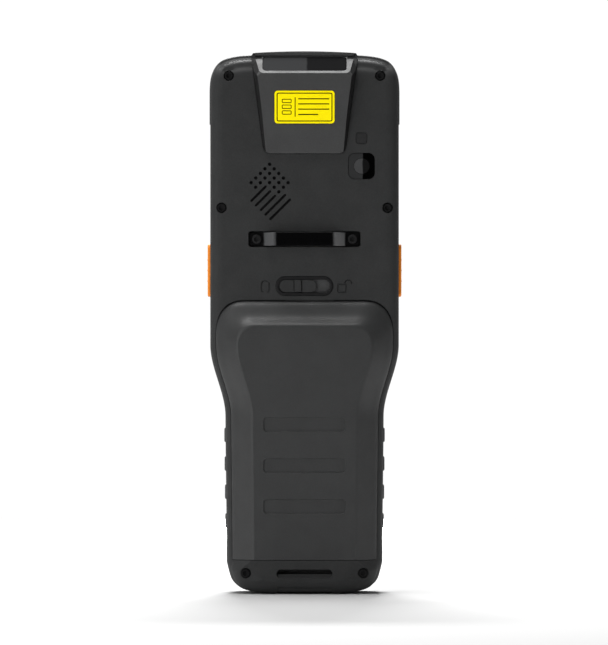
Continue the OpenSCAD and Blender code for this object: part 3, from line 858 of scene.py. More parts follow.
# on the flanks the same rise is spread evenly
P_SIDE = curve([(0, 0), (.05, .10), (.14, .21), (.35, .41), (.6, .66),
                (.8, .85), (.93, .96), (1.02, 1)])
HUMP_T = [0, .012, .03, .05, .08, .12, .17, .23, .3, .37, .44, .51, .57, .62,
          .67, .71, .75, .79, .83, .87, .91, .95, .98, 1.02]
CORNER = 2/2.45


def hump_ring(t, p, z0, e, lift, base, nz=46, na=22):
    """One ring of the door; p is a number, or a function of t whose rise is
    that of the top edge there and that of the flanks below."""
    zc = 95 - 4.2*t - e*.5
    rx, rz = 11.4 - 4.0*t, 13.2 - 5.5*t - e*.5
    half = []
    for k in range(nz):
        z = z0 + (zc - z0)*k/nz
        half.append((hw(z) - 2.1 - 8.2*t - e, z, 0.0))
    h = hw(zc) - 2.1 - 8.2*t - e
    for k in range(na + 1):
        a = PI/2*k/na
        half.append((h - rx + rx*max(0.0, math.cos(a))**CORNER,
                     zc + rz*math.sin(a)**CORNER, sst(k/na)))
    pts = half + [(-x, z, q) for x, z, q in reversed(half)]
    out = []
    for x, z, q in pts:
        v = p if not callable(p) else P_OF_T(t)*q + P_SIDE(t)*(1 - q)
        out.append((x, -(base + (flat_at(z) - lift - base)*v), z))
    return out


def hump(z0, e, lift, base, deep, ts=None):
    first = [(x, -deep, z) for x, y, z in hump_ring(0, 0, z0, e, lift, base)]
    return loft([first] + [hump_ring(t, P_OF_T, z0, e, lift, base)
                           for t in (ts or HUMP_T)])


def seam(c, zx=.25):
    return [(x, z + zx*sst((z - 98)/8)) for x, y, z in
            hump_ring(0, 0, 12.4, -c, 0, 7.4)]


def foot_block():
    """Block round the lanyard bar; every ring is the foot's own curve,
    drawn in towards the middle and up."""
    d_of = curve([(0, .05), (1.0, .10), (2.2, .5), (3.3, 1.35), (4.2, 2.5),
                  (4.75, 3.5), (5.1, 4.4)])
    w_of = curve([(0, .962), (.6, .952), (1.4, .932), (2.4, .903),
                  (3.2, .872), (3.9, .832), (4.5, .768), (4.9, .71),
                  (5.1, .645)])
    # at the door's lower edge it has the door's own section
    w_door = curve([(0, .930), (.51, .915), (1.07, .890), (2.09, .830),
                    (3.37, .758), (4.33, .701), (4.9, .664), (5.1, .638)])
    half = [p for p in OUT[:len(OUT)//2] if p[0] > 3.9 and p[1] < 12.3]
    rings = []
    for k in range(-1, 17):
        y = 1.0 if k < 0 else 7.4 + 5.1*math.sin(PI/2*k/16)
        q = max(0.0, y - 7.4)
        d, wf, wd = d_of(q), w_of(q), w_door(q)
        r = []
        for x, z in half + [(half[-1][0], 12.4)]:
            zz = d + z*(12.4 - d)/12.4
            m = sst((zz - 8.8)/3.6)
            r.append((x*(wf*(1 - m) + wd*m), zz))
        rings.append(ring_y(r + [(-x, z) for x, z in reversed(r)], -y))
    return loft(rings)


COVER = [(-6.9, 162.7), (-8.6, 162.7), (-8.9, 163.1), (-12.2, 191.4),
         (-12.3, 192.2), (-4.75, 198.73), (-5.35, 199.0), (-5.4, 200.05),
         (-4.4, 200.7), (4.2, 200.7), (4.2, 198.4), (-3.6, 198.4),
         (-6.9, 195.6)]


def trap(x0, z0, x1, z1):
    return [(-x0, z0), (x0, z0), (x1, z1), (-x1, z1)]


def cover_solid(c, soft):
    prof = prism_x(COVER, -30, 30)
    crest = circ(532, 720, (0, -65.4))
    crest = [p for p in crest if p[1] > 120 and abs(p[0]) < 60]
    crest = prism_y(crest + [(-59, 100), (59, 100)], -16, 6)
    q_of = curve([(160, .75), (164, .8), (178.8, 1.4), (192.2, 1.56),
                  (203, 1.56)])
    rings = []
    for z in (162.7 - c, 166, 170, 174, 178.8, 184, 188, 192.2, 203):
        wo = 15 + c + 5.3*(z - 162.7)/38.3
        yt = 8.9 + min(29.1, max(0.0, z - 163.1))*3.3/28.3
        xm = wo - q_of(z)*(yt + .4 - 7.9)/(yt - 7.9)
        rings.append([(-wo, 5, z), (wo, 5, z), (wo, -7.9, z),
                      (xm, -yt - .4, z), (xm, -16, z), (-xm, -16, z),
                      (-xm, -yt - .4, z), (-wo, -7.9, z)])
    wall = loft(rings)
    # the slope round the window is narrower than the cover, with round
    # lower corners, and the walls beside it fall away steeply
    fr = []
    for dep, a, r in ((-9, 16.31, 2.3), (-.3, 16.31, 2.3), (0, 16.45, 2.3),
                      (1.2, 17.95, 1.0), (6, 20.2, .6), (40, 36, .6)):
        lo = -5.70 - .70*max(dep, -.3)
        poly = round_poly([(-a, lo), (a, lo), (a + 5.02, 20), (-a - 5.02, 20)],
                          [r, r, .01, .01], 8)
        fr.append([(x, dep, v) for x, v in poly])
    frust = move(loft(fr), ON_WIN)
    ends = join(*[prism_y([(q*s_, z) for q, z in
                           ((17.9, 202.5), (18.7, 200.6), (19.15, 199.8),
                            (20.2, 197.9), (23, 197.9), (23, 202.5))], -16, 6)
                  for s_ in (1, -1)])
    skirt = prism_x([(-6.6, 191), (-8.3, 191), (-8.2, 193.2), (-7.1, 196.0),
                     (-5.8, 197.9), (-4.9, 198.9), (-4.3, 200.0),
                     (-3.9, 200.5), (4.2, 200.5), (4.2, 198.4),
                     (-3.6, 198.4), (-6.6, 195.6)], -30, 30)
    m = csg(prof, [("*", frust), ("+", skirt), ("*", crest), ("*", wall),
                   ("*", hood_seat(c, 2.9)), ("-", ends)], "cover")

    if soft:
        def rim(e, a):
            p, q = (v.co for v in e.verts)
            return a > 20 and max(p.y, q.y) < -2.0 and e.is_convex and \
                min(p.z, q.z) > 162.6 and not (max(p.z, q.z) < 162.9)
        m = bevel(m, rim, .34, 3)
    return m


def hood_seat(c, r=2.8):
    """Straight-sided seat of the scan cover."""
    wall = round_poly(trap(15 + c, 162.7 - c, 20.3 + c, 203),
                      [r + c, r + c, 0, 0], 8)
    return prism_y(wall, -20, 5)


ON_WIN = (Matrix.Translation((0, -8.1, 195.85))
          @ Matrix.Rotation(math.radians(-49.2), 4, "X"))
LAB_A = math.atan(3.3/28.3)
ON_LAB = (Matrix.Translation((0, -8.9 - 16.6*3.3/28.3, 179.7))
          @ Matrix.Rotation(LAB_A, 4, "X"))


def side(s):
    return Matrix.Rotation(s*PI/2, 4, "Z")


def at(x, y, z):
    return Matrix.Translation((x, y, z))


def rear():
    ops = [("+", foot_block()),
           ("-", case_block(.6, 5.4, 1.6))]
    back_room = csg(join(case_block(-5, 5.4, 2.2)),
                    [("+", case_block(-6.4, -4.9, 5.0)),
                     ("*", box((-40, -10, 111), (40, 5, 197.6)))], "room")
    ops.append(("-", back_room))
    ops.append(("+", csg(join(*[cyl_y(x, z, -7 if z > 100 else -2, 4.4,
                                      6.4 if z > 100 else 6)
                                for x, z, s in CASE_SCREWS]),
                         [("*", case_block(-7, 4.4, 1.7))], "bosses")))
    ops.append(("+", join(box((-23, -7.4, 126.4), (23, -2.6, 135.6)),
                          box((-15.8, -7.4, 109.2), (15.8, -4.4, 118.4)))))
    cam = csg(box((CAM_X - 6.5, -7, 151), (CAM_X + 6.5, -5.2, 171)),
              [("-", join(box((CAM_X - 4.2, -8, CAM_Z - 4.2),
                              (CAM_X + 4.2, -4, CAM_Z + 4.2)),
                          box((CAM_X - 1.7, -8, FLASH_Z - 1.7),
                              (CAM_X + 1.7, -4, FLASH_Z + 1.7))))], "cam")
    spk = csg(cyl_y(SPK_X, SPK_Z, -7, -4.6, 26, 48),
              [("-", cyl_y(SPK_X, SPK_Z, -8, -4, 23, 48))], "spk")
    ops += [("+", join(cam, spk))]
    # battery door: seat with a soft edge, narrow gap round the door, bay
    def seat(o):
        return seam(.12 + o, .14)
    rings = [ring_y(seat(0), -7.2)]
    for k in range(5):
        a = math.radians(70)*k/4
        rings.append(ring_y(seat(.13*(1 - math.cos(a))),
                            -8.0 + .13*(1 - math.sin(a))))
    rings.append(ring_y(seat(.13), -8.3))
    low = [[(x, y, z) for x, y, z in r] for r in rings]
    ops.append(("-", loft(low + [ring_y(seat(.13), -18)])))
    gap = csg(prism_y(seam(.12), -8.5, -6.3),
              [("-", prism_y([(x, z) for x, y, z in
                              hump_ring(0, 0, 12.9, .35, 0, 7.4)],
                             -9, -6)),
               ("-", box((-7, -7.15, 100), (11, -5, 112)))], "gap")
    ops.append(("-", gap))
    ops.append(("-", prism_y([(-23.6, 15.5), (23.6, 15.5), (23.6, 62),
                              (27, 82), (27, 98.8), (22, 105.4),
                              (-22, 105.4), (-27, 98.8), (-27, 82),
                              (-23.6, 62)], -9, -.8)))
    ops.append(("-", join(*[box((s*16 - 3.6, -10.2, 9.9),
                                (s*16 + 3.6, -7.5, 16)) for s in (-1, 1)])))
    ops.append(("-", box((-5, -7.0, 103), (9, -5.4, 112))))
    # scan head
    seat_cover = csg(hood_seat(.14), [("*", prism_x(
        [(-20, 160), (-20, 204), (4.2, 204), (4.2, 198.2), (-3.6, 198.3),
         (-6.88, 195.5), (-6.88, 160)], -30, 30))], "hood")
    ops.append(("-", seat_cover))
    ops.append(("-", prism_y(trap(13.2, 165, 16.6, 194.5), -9, 0)))
    ops.append(("-", move(prism_y(rr(31.4, 8.7, 1.7), -2.1, 1.9), ON_WIN)))
    ops.append(("-", move(prism_y(rr(27, 5.6, .8), -2, 8), ON_WIN)))
    # strap bar recess, lock seat, camera and flash seats
    ops.append(("-", pocket(rrf(41.4, 5.9, 1.1, at=(0, BAR_Z + .05)), BACK,
                            -5.5, .22, .3)))
    ops.append(("-", pocket(rrf(21.3, 7.3, 3.6, 12, at=(0, LOCK_Z)), BACK,
                            -7.3, .14)))
    ops.append(("-", prism_y(rr(19.4, 4.8, 2.3, at=(0, LOCK_Z)), -9, -4)))
    ops.append(("-", box((-14.7, -7.0, 110.2), (14.7, -5.4, 117.2))))
    ops.append(("-", join(
        pocket(rrf(9.8, 9.8, 2.4, at=(CAM_X, CAM_Z)), BACK, -6.9, .16),
        pocket(rrf(4.2, 4.2, 1, at=(CAM_X, FLASH_Z)), BACK, -6.9, .12))))
    ops.append(("-", join(cyl_y(CAM_X, CAM_Z, -8, -4, 6.6),
                          cyl_y(CAM_X, FLASH_Z, -8, -4, 3))))
    # loudspeaker
    rows = [[0], [-1, 1], [-2, 0, 2], [-3, -1, 1, 3], [-4, -2, 0, 2, 4],
            [-3, 1, 3], [2]]
    holes = [pocket(circf(1.26, 20, (SPK_X + 1.705*c, 158.7 - 1.7*r)), BACK,
                    -6, .05) for r, row in enumerate(rows) for c in row]
    slots = [pocket(rrf(l, .86, .42, 6, at=(x, z), rot=PI/4), BACK, -6, .05)
             for x, z, l in [(-17, 147.8, 8.2), (-15.3, 146.1, 8.2),
                             (-13.5, 144.4, 8.2), (-10.8, 143.7, 11),
                             (-9, 142, 11)]]
    ops.append(("-", join(*holes, *slots)))
    # screws
    ops.append(("-", join(*[
        pocket(circf(3.9, 40, (x, z)), BACK if z > 20 else
               -11.35, -s, .16, out=6) for x, z, s in CASE_SCREWS])))
    ops.append(("-", join(*[cyl_y(x, z, -s - 1, 5.4, 2.1)
                            for x, z, s in CASE_SCREWS])))
    # side buttons and grips
    for s in (-1, 1):
        cut = move(pocket(rrf(7.4, 20.1, 1.8), -34.9, -32, .16, out=3),
                   at(0, 0, 119.45) @ side(s))
        ops.append(("-", cut))
        ops.append(("-", box((s*31.7 - 1.15, -4.7, 108.15),
                             (s*31.7 + 1.15, 4.7, 130.75))))
        ops.append(("-", join(*[move(
            prism_y(rr(7.6, 5.3, .5), -1.4, 1.4),
            at(s*hw(z), -.2, z) @ side(s)) for z in GRIP_Z])))
    # lanyard passage and data port
    ops += LANYARD()
    ops.append(("-", box((-12.8, -4.7, -1), (12.8, 2.8, 2.4))))
    ops.append(("-", box((-4.8, -1.9, 2), (4.8, 1.7, 12))))
    m = csg(loft(rear_rings()), ops, "rear")
    # padlock signs, fine grooves in the back
    cx, cz = -14.44, 114.2
    shut = [(cx + .75, cz - 2.75), (cx + 1.15, cz - 2.6),
            (cx + 1.42, cz - 2.2)] \
        + arc(cx, cz, 1.45, 0, 180, 20) \
        + [(cx - 1.42, cz - 2.2), (cx - 1.15, cz - 2.6),
           (cx - .75, cz - 2.75)]
    ox, oz = 13.91, 112.87
    body = rr(3.1, 3.0, .55, 4, at=(ox, oz))
    shack = [(ox + 1.0, oz + 1.35)] + arc(ox + 2.25, oz + 1.75, 1.25, 180, 0,
                                          16) + [(ox + 3.5, oz + 1.5)]
    cuts = [stroke(path, .54, .32, closed=c, deep=.15, s=1)
            for path, c in ((shut, False), (body, True), (shack, False))]
    for g in cuts:
        m = csg(m, [("-", g)], "sign")
    return m


def LANYARD():
    """Passage behind the lanyard bar, its round-ended mouth above the bar
    with the bar's sloping top in it, and the shallow groove below."""
    passage = prism_y(rr(20.4, 16, 1.0, 6, at=(0, 1.0)), -10.0, -5.6)
    mouth = prism_y(rr(20.4, 3.1, 1.52, 10, at=(0, 7.45)), -16, -9.8)
    rim = loft([ring_y(rr(20.4 + 2*o, 3.1 + 2*o, 1.52 + o, 10,
                          at=(0, 7.45)), y)
                for o, y in ((0, -12.0), (.02, -12.2), (.3, -12.75),
                             (.9, -13.6))])
    top = prism_x([(-12.05, 5.7), (-11.35, 7.25), (-11.1, 7.42),
                   (-10.7, 7.42), (-10.0, 7.0), (-10.0, 5.7)], -10.3, 10.3)
    groove = loft([ring_y(rr(20.4 - q, 1.35 - q, .66 - q/2, 10,
                             at=(0, 1.84)), y)
                   for q, y in ((.3, -10.75), (.0, -10.95), (0, -16))])
    return [("-", passage), ("-", join(mouth)), ("-", rim), ("+", csg(
        top, [("*", prism_y(rr(20.6, 4.0, 1.7, 10, at=(0, 7.3)), -14, -9))],
        "bar top")), ("-", groove)]


HOLES = [(SPK_X + 1.705*c, 158.7 - 1.7*r) for r, row in enumerate(
    [[0], [-1, 1], [-2, 0, 2], [-3, -1, 1, 3], [-4, -2, 0, 2, 4],
     [-3, 1, 3], [2]]) for c in row]
SLOTS = [(-17, 147.8, 8.2), (-15.3, 146.1, 8.2), (-13.5, 144.4, 8.2),
         (-10.8, 143.7, 11), (-9, 142, 11)]


def in_hole(c, nrm):
    """Inside walls of the sound holes and of the deep slots get a near-black
    colour, as painted shade.
    """
    if c.y < -7.93 or c.y > -5.7:
        return None
    for x, z in HOLES:
        if (c.x - x)**2 + (c.z - z)**2 < .72**2:
            return 1
    for x, z, l in SLOTS:
        u = ((c.x - x) + (c.z - z))*.7071
        v = (-(c.x - x) + (c.z - z))*.7071
        if abs(u) < l/2 + .1 and abs(v) < .55:
            return 1
    return None


place("rear_shell", rear(), "case", [M["body"], M["hole"]],
      nodes=["rear_housing"], pick=in_hole)


# ============================================================ front housing
KEYS = [("menu", 17, 93, 12, 7.4, 2.6), ("up", 0, 93, 15, 7.4, 2.6),
        ("back", -17, 93, 12, 7.4, 2.6), ("left", 18, 80.5, 10.5, 11, 3),
        ("scan", 0, 80.5, 19, 12, 5.4), ("right", -18, 80.5, 10.5, 11, 3),
        ("escape", 17, 68, 12, 7.4, 2.6), ("down", 0, 68, 15, 7.4, 2.6),
        ("enter", -17, 68, 12, 7.4, 2.6)] + [
    (n, (16.6, 0, -16.6)[i % 3], (56, 44.5, 33, 21.5)[i//3], 13.4, 7.6, 2.6)
    for i, n in enumerate(["1", "2", "3", "4", "5", "6", "7", "8", "9",
                           "dot", "0", "clear"])]


def bumper_limit():
    return csg(case_block(4, 15, 1.1),
               [("+", box((-40, 0, -1), (40, 20, 174)))], "limit")


def front():
    yi = [(4.6, .25), (4.68, .07), (4.85, 0), (12, 0)]
    for k in range(1, 11):
        a = PI/2*k/10
        yi.append((12 + 3*math.sin(a), 3.2*(1 - math.cos(a))))
    base = loft([ring_y(inset(d), y) for y, d in yi])
    ops = []
    face = [ring_y(inset(4.4 + .25*(1 - math.sin(PI/2*k/4))), 13.8
            + .25*(1 - math.cos(PI/2*k/4))) for k in range(5)]
    face += [ring_y(inset(4.4 - .3*(1 - math.cos(PI/2*.85*k/4))),
                    14.7 + .3*math.sin(PI/2*.85*k/4)) for k in range(5)]
    face.append(ring_y(inset(4.0), 16))
    ops.append(("-", loft(face)))
    ops.append(("-", case_block(10.4, 12.2, 3.4)))
    ops.append(("-", case_block(3, 10.5, 1.6)))
    inner = csg(join(*[cyl_y(x, z, 4.6, 12.4, 5.4)
                       for x, z, s in CASE_SCREWS]),
                [("+", csg(box((-33.4, 11.2, 102.6), (33.4, 12.4, 189.4)),
                           [("-", box((-25.6, 10, 107), (25.6, 14, 184)))],
                           "ledge")),
                 ("*", case_block(4.6, 12.4, 1.3))], "front bosses")
    ops.append(("+", inner))
    ops.append(("-", pocket(rrf(58.2, 84.2, 3.1, 10, at=(0, 145.5)), 13.8,
                            12.4, .12, s=1)))
    ops.append(("-", prism_y(rr(51.2, 77, 1, at=(0, 145.5)), 10, 16)))
    ops.append(("-", pocket(rrf(12, 1.6, .8, 8, at=(0, 191.6)), 13.8, 12,
                            .14, s=1)))
    ops.append(("-", join(*[pocket(
        rrf(w + .6, h + .6, r + .3, 8, at=(x, z)), 13.8, 11, .18, s=1)
        for n, x, z, w, h, r in KEYS])))
    ops.append(("-", join(*[cyl_y(x, z, 4, 10.4, 2.1)
                            for x, z, s in CASE_SCREWS])))
    ops.append(("-", csg(case_block(5.2, 13.2, -1),
                         [("-", bumper_limit())], "bumper seat")))
    return csg(base, ops, "front")


place("front_shell", front(), "case", M["frontp"],
      nodes=["front_housing"])

by = [(13.2, -.20), (13.1, -.33), (12.9, -.42), (12.4, -.45), (6.4, -.45),
      (5.6, -.43), (5.3, -.38), (5.2, -.28)]
place("corner_bumper", csg(loft([ring_y(inset(d), y) for y, d in by]),
                           [("-", bumper_limit())], "bumper"), "case",
      M["bumper"], nodes=["top_bumper"])


# ============================================================ battery door
def door():
    outer = hump(12.6, 0, 0, 7.4, 7.2)
    z0 = 12.6
    inner = hump(14.4, 1.9, 1.7, 6, 5, HUMP_T[::3] + [1])
    ops = [("-", inner)]
    ops.append(("+", join(*[box((s*16 - 3, -9.4, 10.5),
                                (s*16 + 3, -8.3, 15.4)) for s in (-1, 1)],
                          box((-3, -8.9, 102.2), (6, -6.4, 104.4)))))
    for z in (62.65, 47.45, 32.35):
        y = -flat_at(z)
        tilt = Matrix.Rotation(-math.atan(2.5/86), 4, "X")
        ops.append(("-", move(pocket(rrf(30.1, 5.25, 1.2), 0, .6, .2, .2),
                              at(0, y, z) @ tilt.inverted())))
    g = csg(prism_y([(x, z) for x, y, z in
                     hump_ring(0, 0, 13.3, .6, 0, 7.4)], -7.7, -7),
            [("-", prism_y([(x, z) for x, y, z in
                            hump_ring(0, 0, 14.1, 1.4, 0, 7.4)], -9, -6))],
            "groove")
    ops.append(("-", g))
    return csg(outer, ops, "door")


place("battery_cover", door(), "door", M["door"], nodes=["battery_door"])


# ============================================================ scan head
cov = csg(cover_solid(0, True), [
    ("-", prism_x([(-5, 166.5), (-7.2, 166.5), (-10.2, 190.5),
                   (-9.6, 192.2), (-5.2, 196), (-5, 196)], -12.6, 12.6)),
    ("-", move(pocket(rrf(31, 8.3, 1.5), 0, 1.4, .14), ON_WIN)),
    ("-", move(prism_y(rr(27, 5.6, .8), -1, 5), ON_WIN)),
    ("-", move(pocket(rrf(22.4, 12.5, 1.2), 0, .25, .12), ON_LAB))], "hood")


def cheek(c, nrm):
    """The cover's steep sides and the strips beside its window get a darker,
    matt colour that is painted shade, and so does its top edge, as painted
    shade where it would catch the light."""
    if nrm.z > .5 and c.z > 200:
        return 2
    if nrm.z > .3 and c.z > 198 and abs(c.x) > 17:
        return 2
    if c.y > -3 or c.z > 200.2:
        return None
    if abs(nrm.x) > .5 and c.z > 163.5 and abs(c.x) > 13.5:
        return 1
    if abs(c.x) > 16.5 and c.z > 192.5 and nrm.y < 0:
        on = -nrm.y*.654 + nrm.z*.756
        depth = (c.y + 8.1)*.654 - (c.z - 195.85)*.756
        if on < .985 or depth > .12:
            return 1
    return None


place("scan_hood", cov, "case", [M["cover"], M["cheek"], M["crest"]],
      nodes=["scan_head_cover"], angle=30, pick=cheek)
place("scan_glass", move(boss(rrf(30.8, 8.1, 1.4), 1.4, .1, .18), ON_WIN),
      "case", M["scan_glass"], nodes=["scan_window"])


def label():
    top = -.05
    base = move(boss(rrf(22.15, 12.1, 1.15), .25, top, .04), ON_LAB)
    pr = top - .012
    k = .37

    def X(px):
        return (px - 304.4)*k

    def Z(py):
        return (107.65 - py)*k
    frame_l = [stroke(rr(20.25, 10.3, .55, 5), .38, .03, y=top, closed=True,
                      deep=.01)]
    bits = [stroke([(X(295), Z(97.9)), (X(295), Z(117.2))], .34, .03, y=top,
                   deep=.01)]
    for py, a, b in ((99.4, 298, 329), (104.5, 298, 329), (109.7, 298, 329),
                     (115.0, 298, 318)):
        bits.append(stroke([(X(a), Z(py)), (X(b), Z(py))], .42, .03, y=top,
                           deep=.01))
    for py in (101.5, 107.3, 113.1):
        bits.append(stroke(rr(3.3, 1.25, .25, 4,
                              at=(X(286.6), Z(py))), .3, .03, y=top,
                           closed=True, deep=.01))
    bits.append(stroke([(X(299), Z(120.2)), (X(329), Z(120.2))], .1, .02,
                       y=top, deep=.01))
    return base, move(join(*frame_l, *bits[:-1]), ON_LAB)


lab, prn = label()
place("label_plate", [lab, prn], "case", [M["label"], M["print_dark"]],
      nodes=["asset_label"], angle=40)


# ============================================================ camera, flash
cw = boss(rrf(9.6, 9.6, 2.3), -6.9, -7.8, .2)
cw = move(cw, at(CAM_X, 0, CAM_Z))
lens = [[(CAM_X + r*math.cos(2*PI*i/56), y, CAM_Z + r*math.sin(2*PI*i/56))
         for i in range(56)] for r, y in
        ((3.00, -7.7), (2.98, -7.805), (2.95, -7.815), (2.90, -7.815),
         (2.87, -7.805), (2.85, -7.7))]
place("camera_glass", [cw, loft(lens, wrap=True)], "case",
      [M["cam_glass"], M["gloss"]], nodes=["camera_window"])
place("flash_glass", move(boss(rrf(4, 4, .9), -6.9, -7.8, .16),
                          at(CAM_X, 0, FLASH_Z)), "case", M["flash_glass"],
      nodes=["flash_window"])


# ============================================================ strap bar
def bar():
    outer = [(-20.2, -5.52), (-20.2, -6.7), (-15.3, -6.7), (-11.5, -13.6),
             (-10.5, -14), (10.5, -14), (11.5, -13.6), (15.3, -6.7),
             (20.2, -6.7), (20.2, -5.52), (14.7, -5.52), (10.8, -12.7),
             (10.5, -12.8), (-10.5, -12.8), (-10.8, -12.7), (-14.7, -5.52)]
    rad = [0, .25, .4, .9, .9, .9, .9, .4, .25, 0, .4, .3, .3, .3, .3, .4]
    m = prism_z(round_poly(outer, rad, 5), 131 - 2.45, 131 + 2.45)

    def edge(e, a):
        return a > 50
    m = bevel(m, edge, .42, 4)
    return csg(m, [("-", join(cyl_y(17.7, 131, -8, -5, 2.1, 24),
                              cyl_y(-17.7, 131, -8, -5, 2.1, 24)))], "bar")


place("strap_bow", bar(), "case", M["bow"], nodes=["strap_bar"],
      angle=40)


def screw(x, z, seat, end):
    n = 48
    ph = [2*PI*i/n for i in range(n)]

    def hexr(a, af):
        b = (a + PI/6) % (PI/3) - PI/6
        return af/2/math.cos(b)
    rings = []
    for r, y in ((1.0, end), (1.0, -seat), (1.62, -seat), (1.7, -seat - .08),
                 (1.7, -seat - 1.25), (1.66, -seat - 1.38),
                 (1.56, -seat - 1.47), (1.42, -seat - 1.5)):
        rings.append([(x + r*math.cos(a), y, z + r*math.sin(a)) for a in ph])
    for af, y in ((2.02, -seat - 1.5), (1.8, -seat - 1.42),
                  (1.8, -seat - .75), (.5, -seat - .62)):
        rings.append([(x + hexr(a, af)*math.cos(a), y,
                       z + hexr(a, af)*math.sin(a)) for a in ph])
    return loft(rings)


place("bow_screws", join(*[screw(x, 131, 6.7, -3.2) for x in (17.7, -17.7)]),
      "case", M["bow_screw"], nodes=["strap_bar_screws"])
place("case_screws", join(*[screw(x, z, s, 9.8) for x, z, s in CASE_SCREWS]),
      "case", M["screw"], nodes=["housing_screws"])

# ============================================================ battery lock
prof = [(-.02, -7.3), (-.02, -7.95), (-.10, -8.09), (-.24, -8.15),
        (-.98, -8.15), (-1.12, -8.08), (-1.21, -7.95), (-1.23, -7.3)]
f = rrf(21.2, 7.2, 3.55, 14, at=(0, LOCK_Z))
place("lock_frame", loft([ring_y(f(o), y) for o, y in prof], wrap=True),
      "case", M["bezel"], nodes=["lock_bezel"])
kn = boss(rrf(13.7, 4.52, 2.24, 12), -6.9, -8.12, .16)
kn = move(kn, at(-2.45, 0, LOCK_Z))
kn = csg(kn, [("+", move(boss(rrf(2.5, 4.5, .35), -7.6, -8.8, .24),
                         at(-2.45, 0, LOCK_Z))),
              ("-", join(*[move(prism_y(rr(.3, 6, .1, 3), -9, -7.85),
                                at(-2.45 + q, 0, LOCK_Z))
                           for q in (-1.42, 1.42)]))], "knob")
place("lock_knob", kn, "lock", M["body"], nodes=["lock_slider"])

# ============================================================ side buttons
for s, nm in ((-1, "left"), (1, "right")):
    loc = at(0, 0, 119.45) @ side(s)
    cap = boss(rrf(6.8, 19.5, 1.6), -31.8, -35.9, .55, n=6)
    cap = csg(cap, [("+", boss(rrf(8.6, 21.5, 1.8), -31.5, -32.7, .2))],
              "button")
    ribs = []
    for dz in (-3.9, 0, 3.9):
        ribs.append(move(boss(rrf(5.6, 1.0, .48, 6), -35.6, -36.0, .36,
                              n=5), at(0, 0, dz)))
    cap = csg(cap, [("+", join(*ribs))], "ribs")
    place("scan_button_" + nm, move(cap, loc), "button_" + nm, M["orange"],
          nodes=["side_button_" + nm])
    gr = []
    for z in GRIP_Z:
        g = boss(rrf(7.6, 5.3, .8), 1.4, -.46, .5, dome=.06)
        gr.append(move(g, at(s*hw(z), -.2, z) @ side(s)))
    place("grip_" + nm, join(*gr), "case", M["rubber"],
          nodes=["side_grip_" + nm])

# ============================================================ front parts
place("display_pane", move(boss(rrf(58, 84, 3, 10), 12.4, 13.6, .15, s=1),
                           at(0, 0, 145.5)), "case", M["display"],
      nodes=["display_glass"])


def tri(cx, cz, r, a):
    return [(cx + r*math.cos(math.radians(a + k)),
             cz + r*math.sin(math.radians(a + k))) for k in (0, 120, 240)]


def flat(pts, y=14.9, h=.03):
    return loft([ring_y(pts, y - .1), ring_y(pts, y + h)])


def digit(text, cx, cz, size, y=14.9):
    cu = bpy.data.curves.new("digit", "FONT")
    cu.body = text
    cu.size = size
    cu.align_x = "CENTER"
    cu.align_y = "CENTER"
    cu.extrude = .06
    cu.resolution_u = 5
    o = bpy.data.objects.new("digit", cu)
    bpy.context.scene.collection.objects.link(o)
    dg = bpy.context.evaluated_depsgraph_get()
    me = bpy.data.meshes.new_from_object(o.evaluated_get(dg))
    v, f = back(me)
    bpy.data.objects.remove(o)
    bpy.data.curves.remove(cu)
    bpy.data.meshes.remove(me)
    # read from the front: text x runs to -X
    return [(cx - x, y - .03 + z, cz + q) for x, q, z in v], f


def symbol(n, cx, cz):
    y = 14.9
    st = lambda p, c=False, w=.5: stroke(p, w, .03, y=y, closed=c,
                                         deep=.05, s=1)
    if n == "menu":
        return join(*[st([(cx - 1.7, cz + d), (cx + 1.7, cz + d)])
                      for d in (-1.2, 0, 1.2)])
    if n in ("up", "down", "left", "right"):
        a = {"up": 90, "down": 270, "left": 0, "right": 180}[n]
        return flat(tri(cx, cz, 1.7, a))
    if n == "back":
        return join(st([(cx + .4, cz + 1.5), (cx + 1.9, cz),
                        (cx + .4, cz - 1.5)]),
                    st([(cx + 1.7, cz), (cx - 1.9, cz)]))
    if n == "escape":
        return join(st([(cx - 1.3, cz - 1.3), (cx + 1.3, cz + 1.3)]),
                    st([(cx - 1.3, cz + 1.3), (cx - .3, cz + .3)]),
                    st([(cx + .3, cz - .3), (cx + 1.3, cz - 1.3)]))
    if n == "enter":
        return join(st([(cx - 1.9, cz + 1.4), (cx - 1.9, cz - .5),
                        (cx + 1.2, cz - .5)]),
                    flat(tri(cx + 1.5, cz - .5, 1.0, 0)))
    if n == "scan":
        return join(*[st([(cx + d, cz - 1.8), (cx + d, cz + 1.8)], w=w)
                      for d, w in ((-2.4, .5), (-1.5, .3), (-.6, .7),
                                   (.5, .3), (1.4, .5), (2.4, .6))])
    if n == "dot":
        return flat(circ(1.1, 24, (cx, cz)))
    if n == "clear":
        return join(st([(cx + 2.4, cz), (cx + 1.1, cz + 1.4),
                        (cx - 2.2, cz + 1.4), (cx - 2.2, cz - 1.4),
                        (cx + 1.1, cz - 1.4)], True, .38),
                    st([(cx - 1.1, cz - .6), (cx + .3, cz + .6)], w=.36),
                    st([(cx - 1.1, cz + .6), (cx - .6, cz + .17)], w=.36),
                    st([(cx - .2, cz - .17), (cx + .3, cz - .6)], w=.36))
    return digit(n, cx, cz, 4.6)


for n, x, z, w, h, r in KEYS:
    cap = boss(rrf(w, h, r, 8), 11.5, 14.9, .55, s=1, n=6)
    cap = csg(cap, [("+", boss(rrf(w + 1.5, h + 1.5, r + .6, 8), 11.0, 12.0,
                               .15, s=1))], "key_" + n)
    cap = move(cap, at(x, 0, z))
    place("keycap_" + n, [cap, symbol(n, x, z)], "key_%s_body" % n,
          [M["orange"] if n == "scan" else M["key"],
           M["print_dark"] if n == "scan" else M["print_light"]],
          nodes=["key_" + n],
          wn=True)

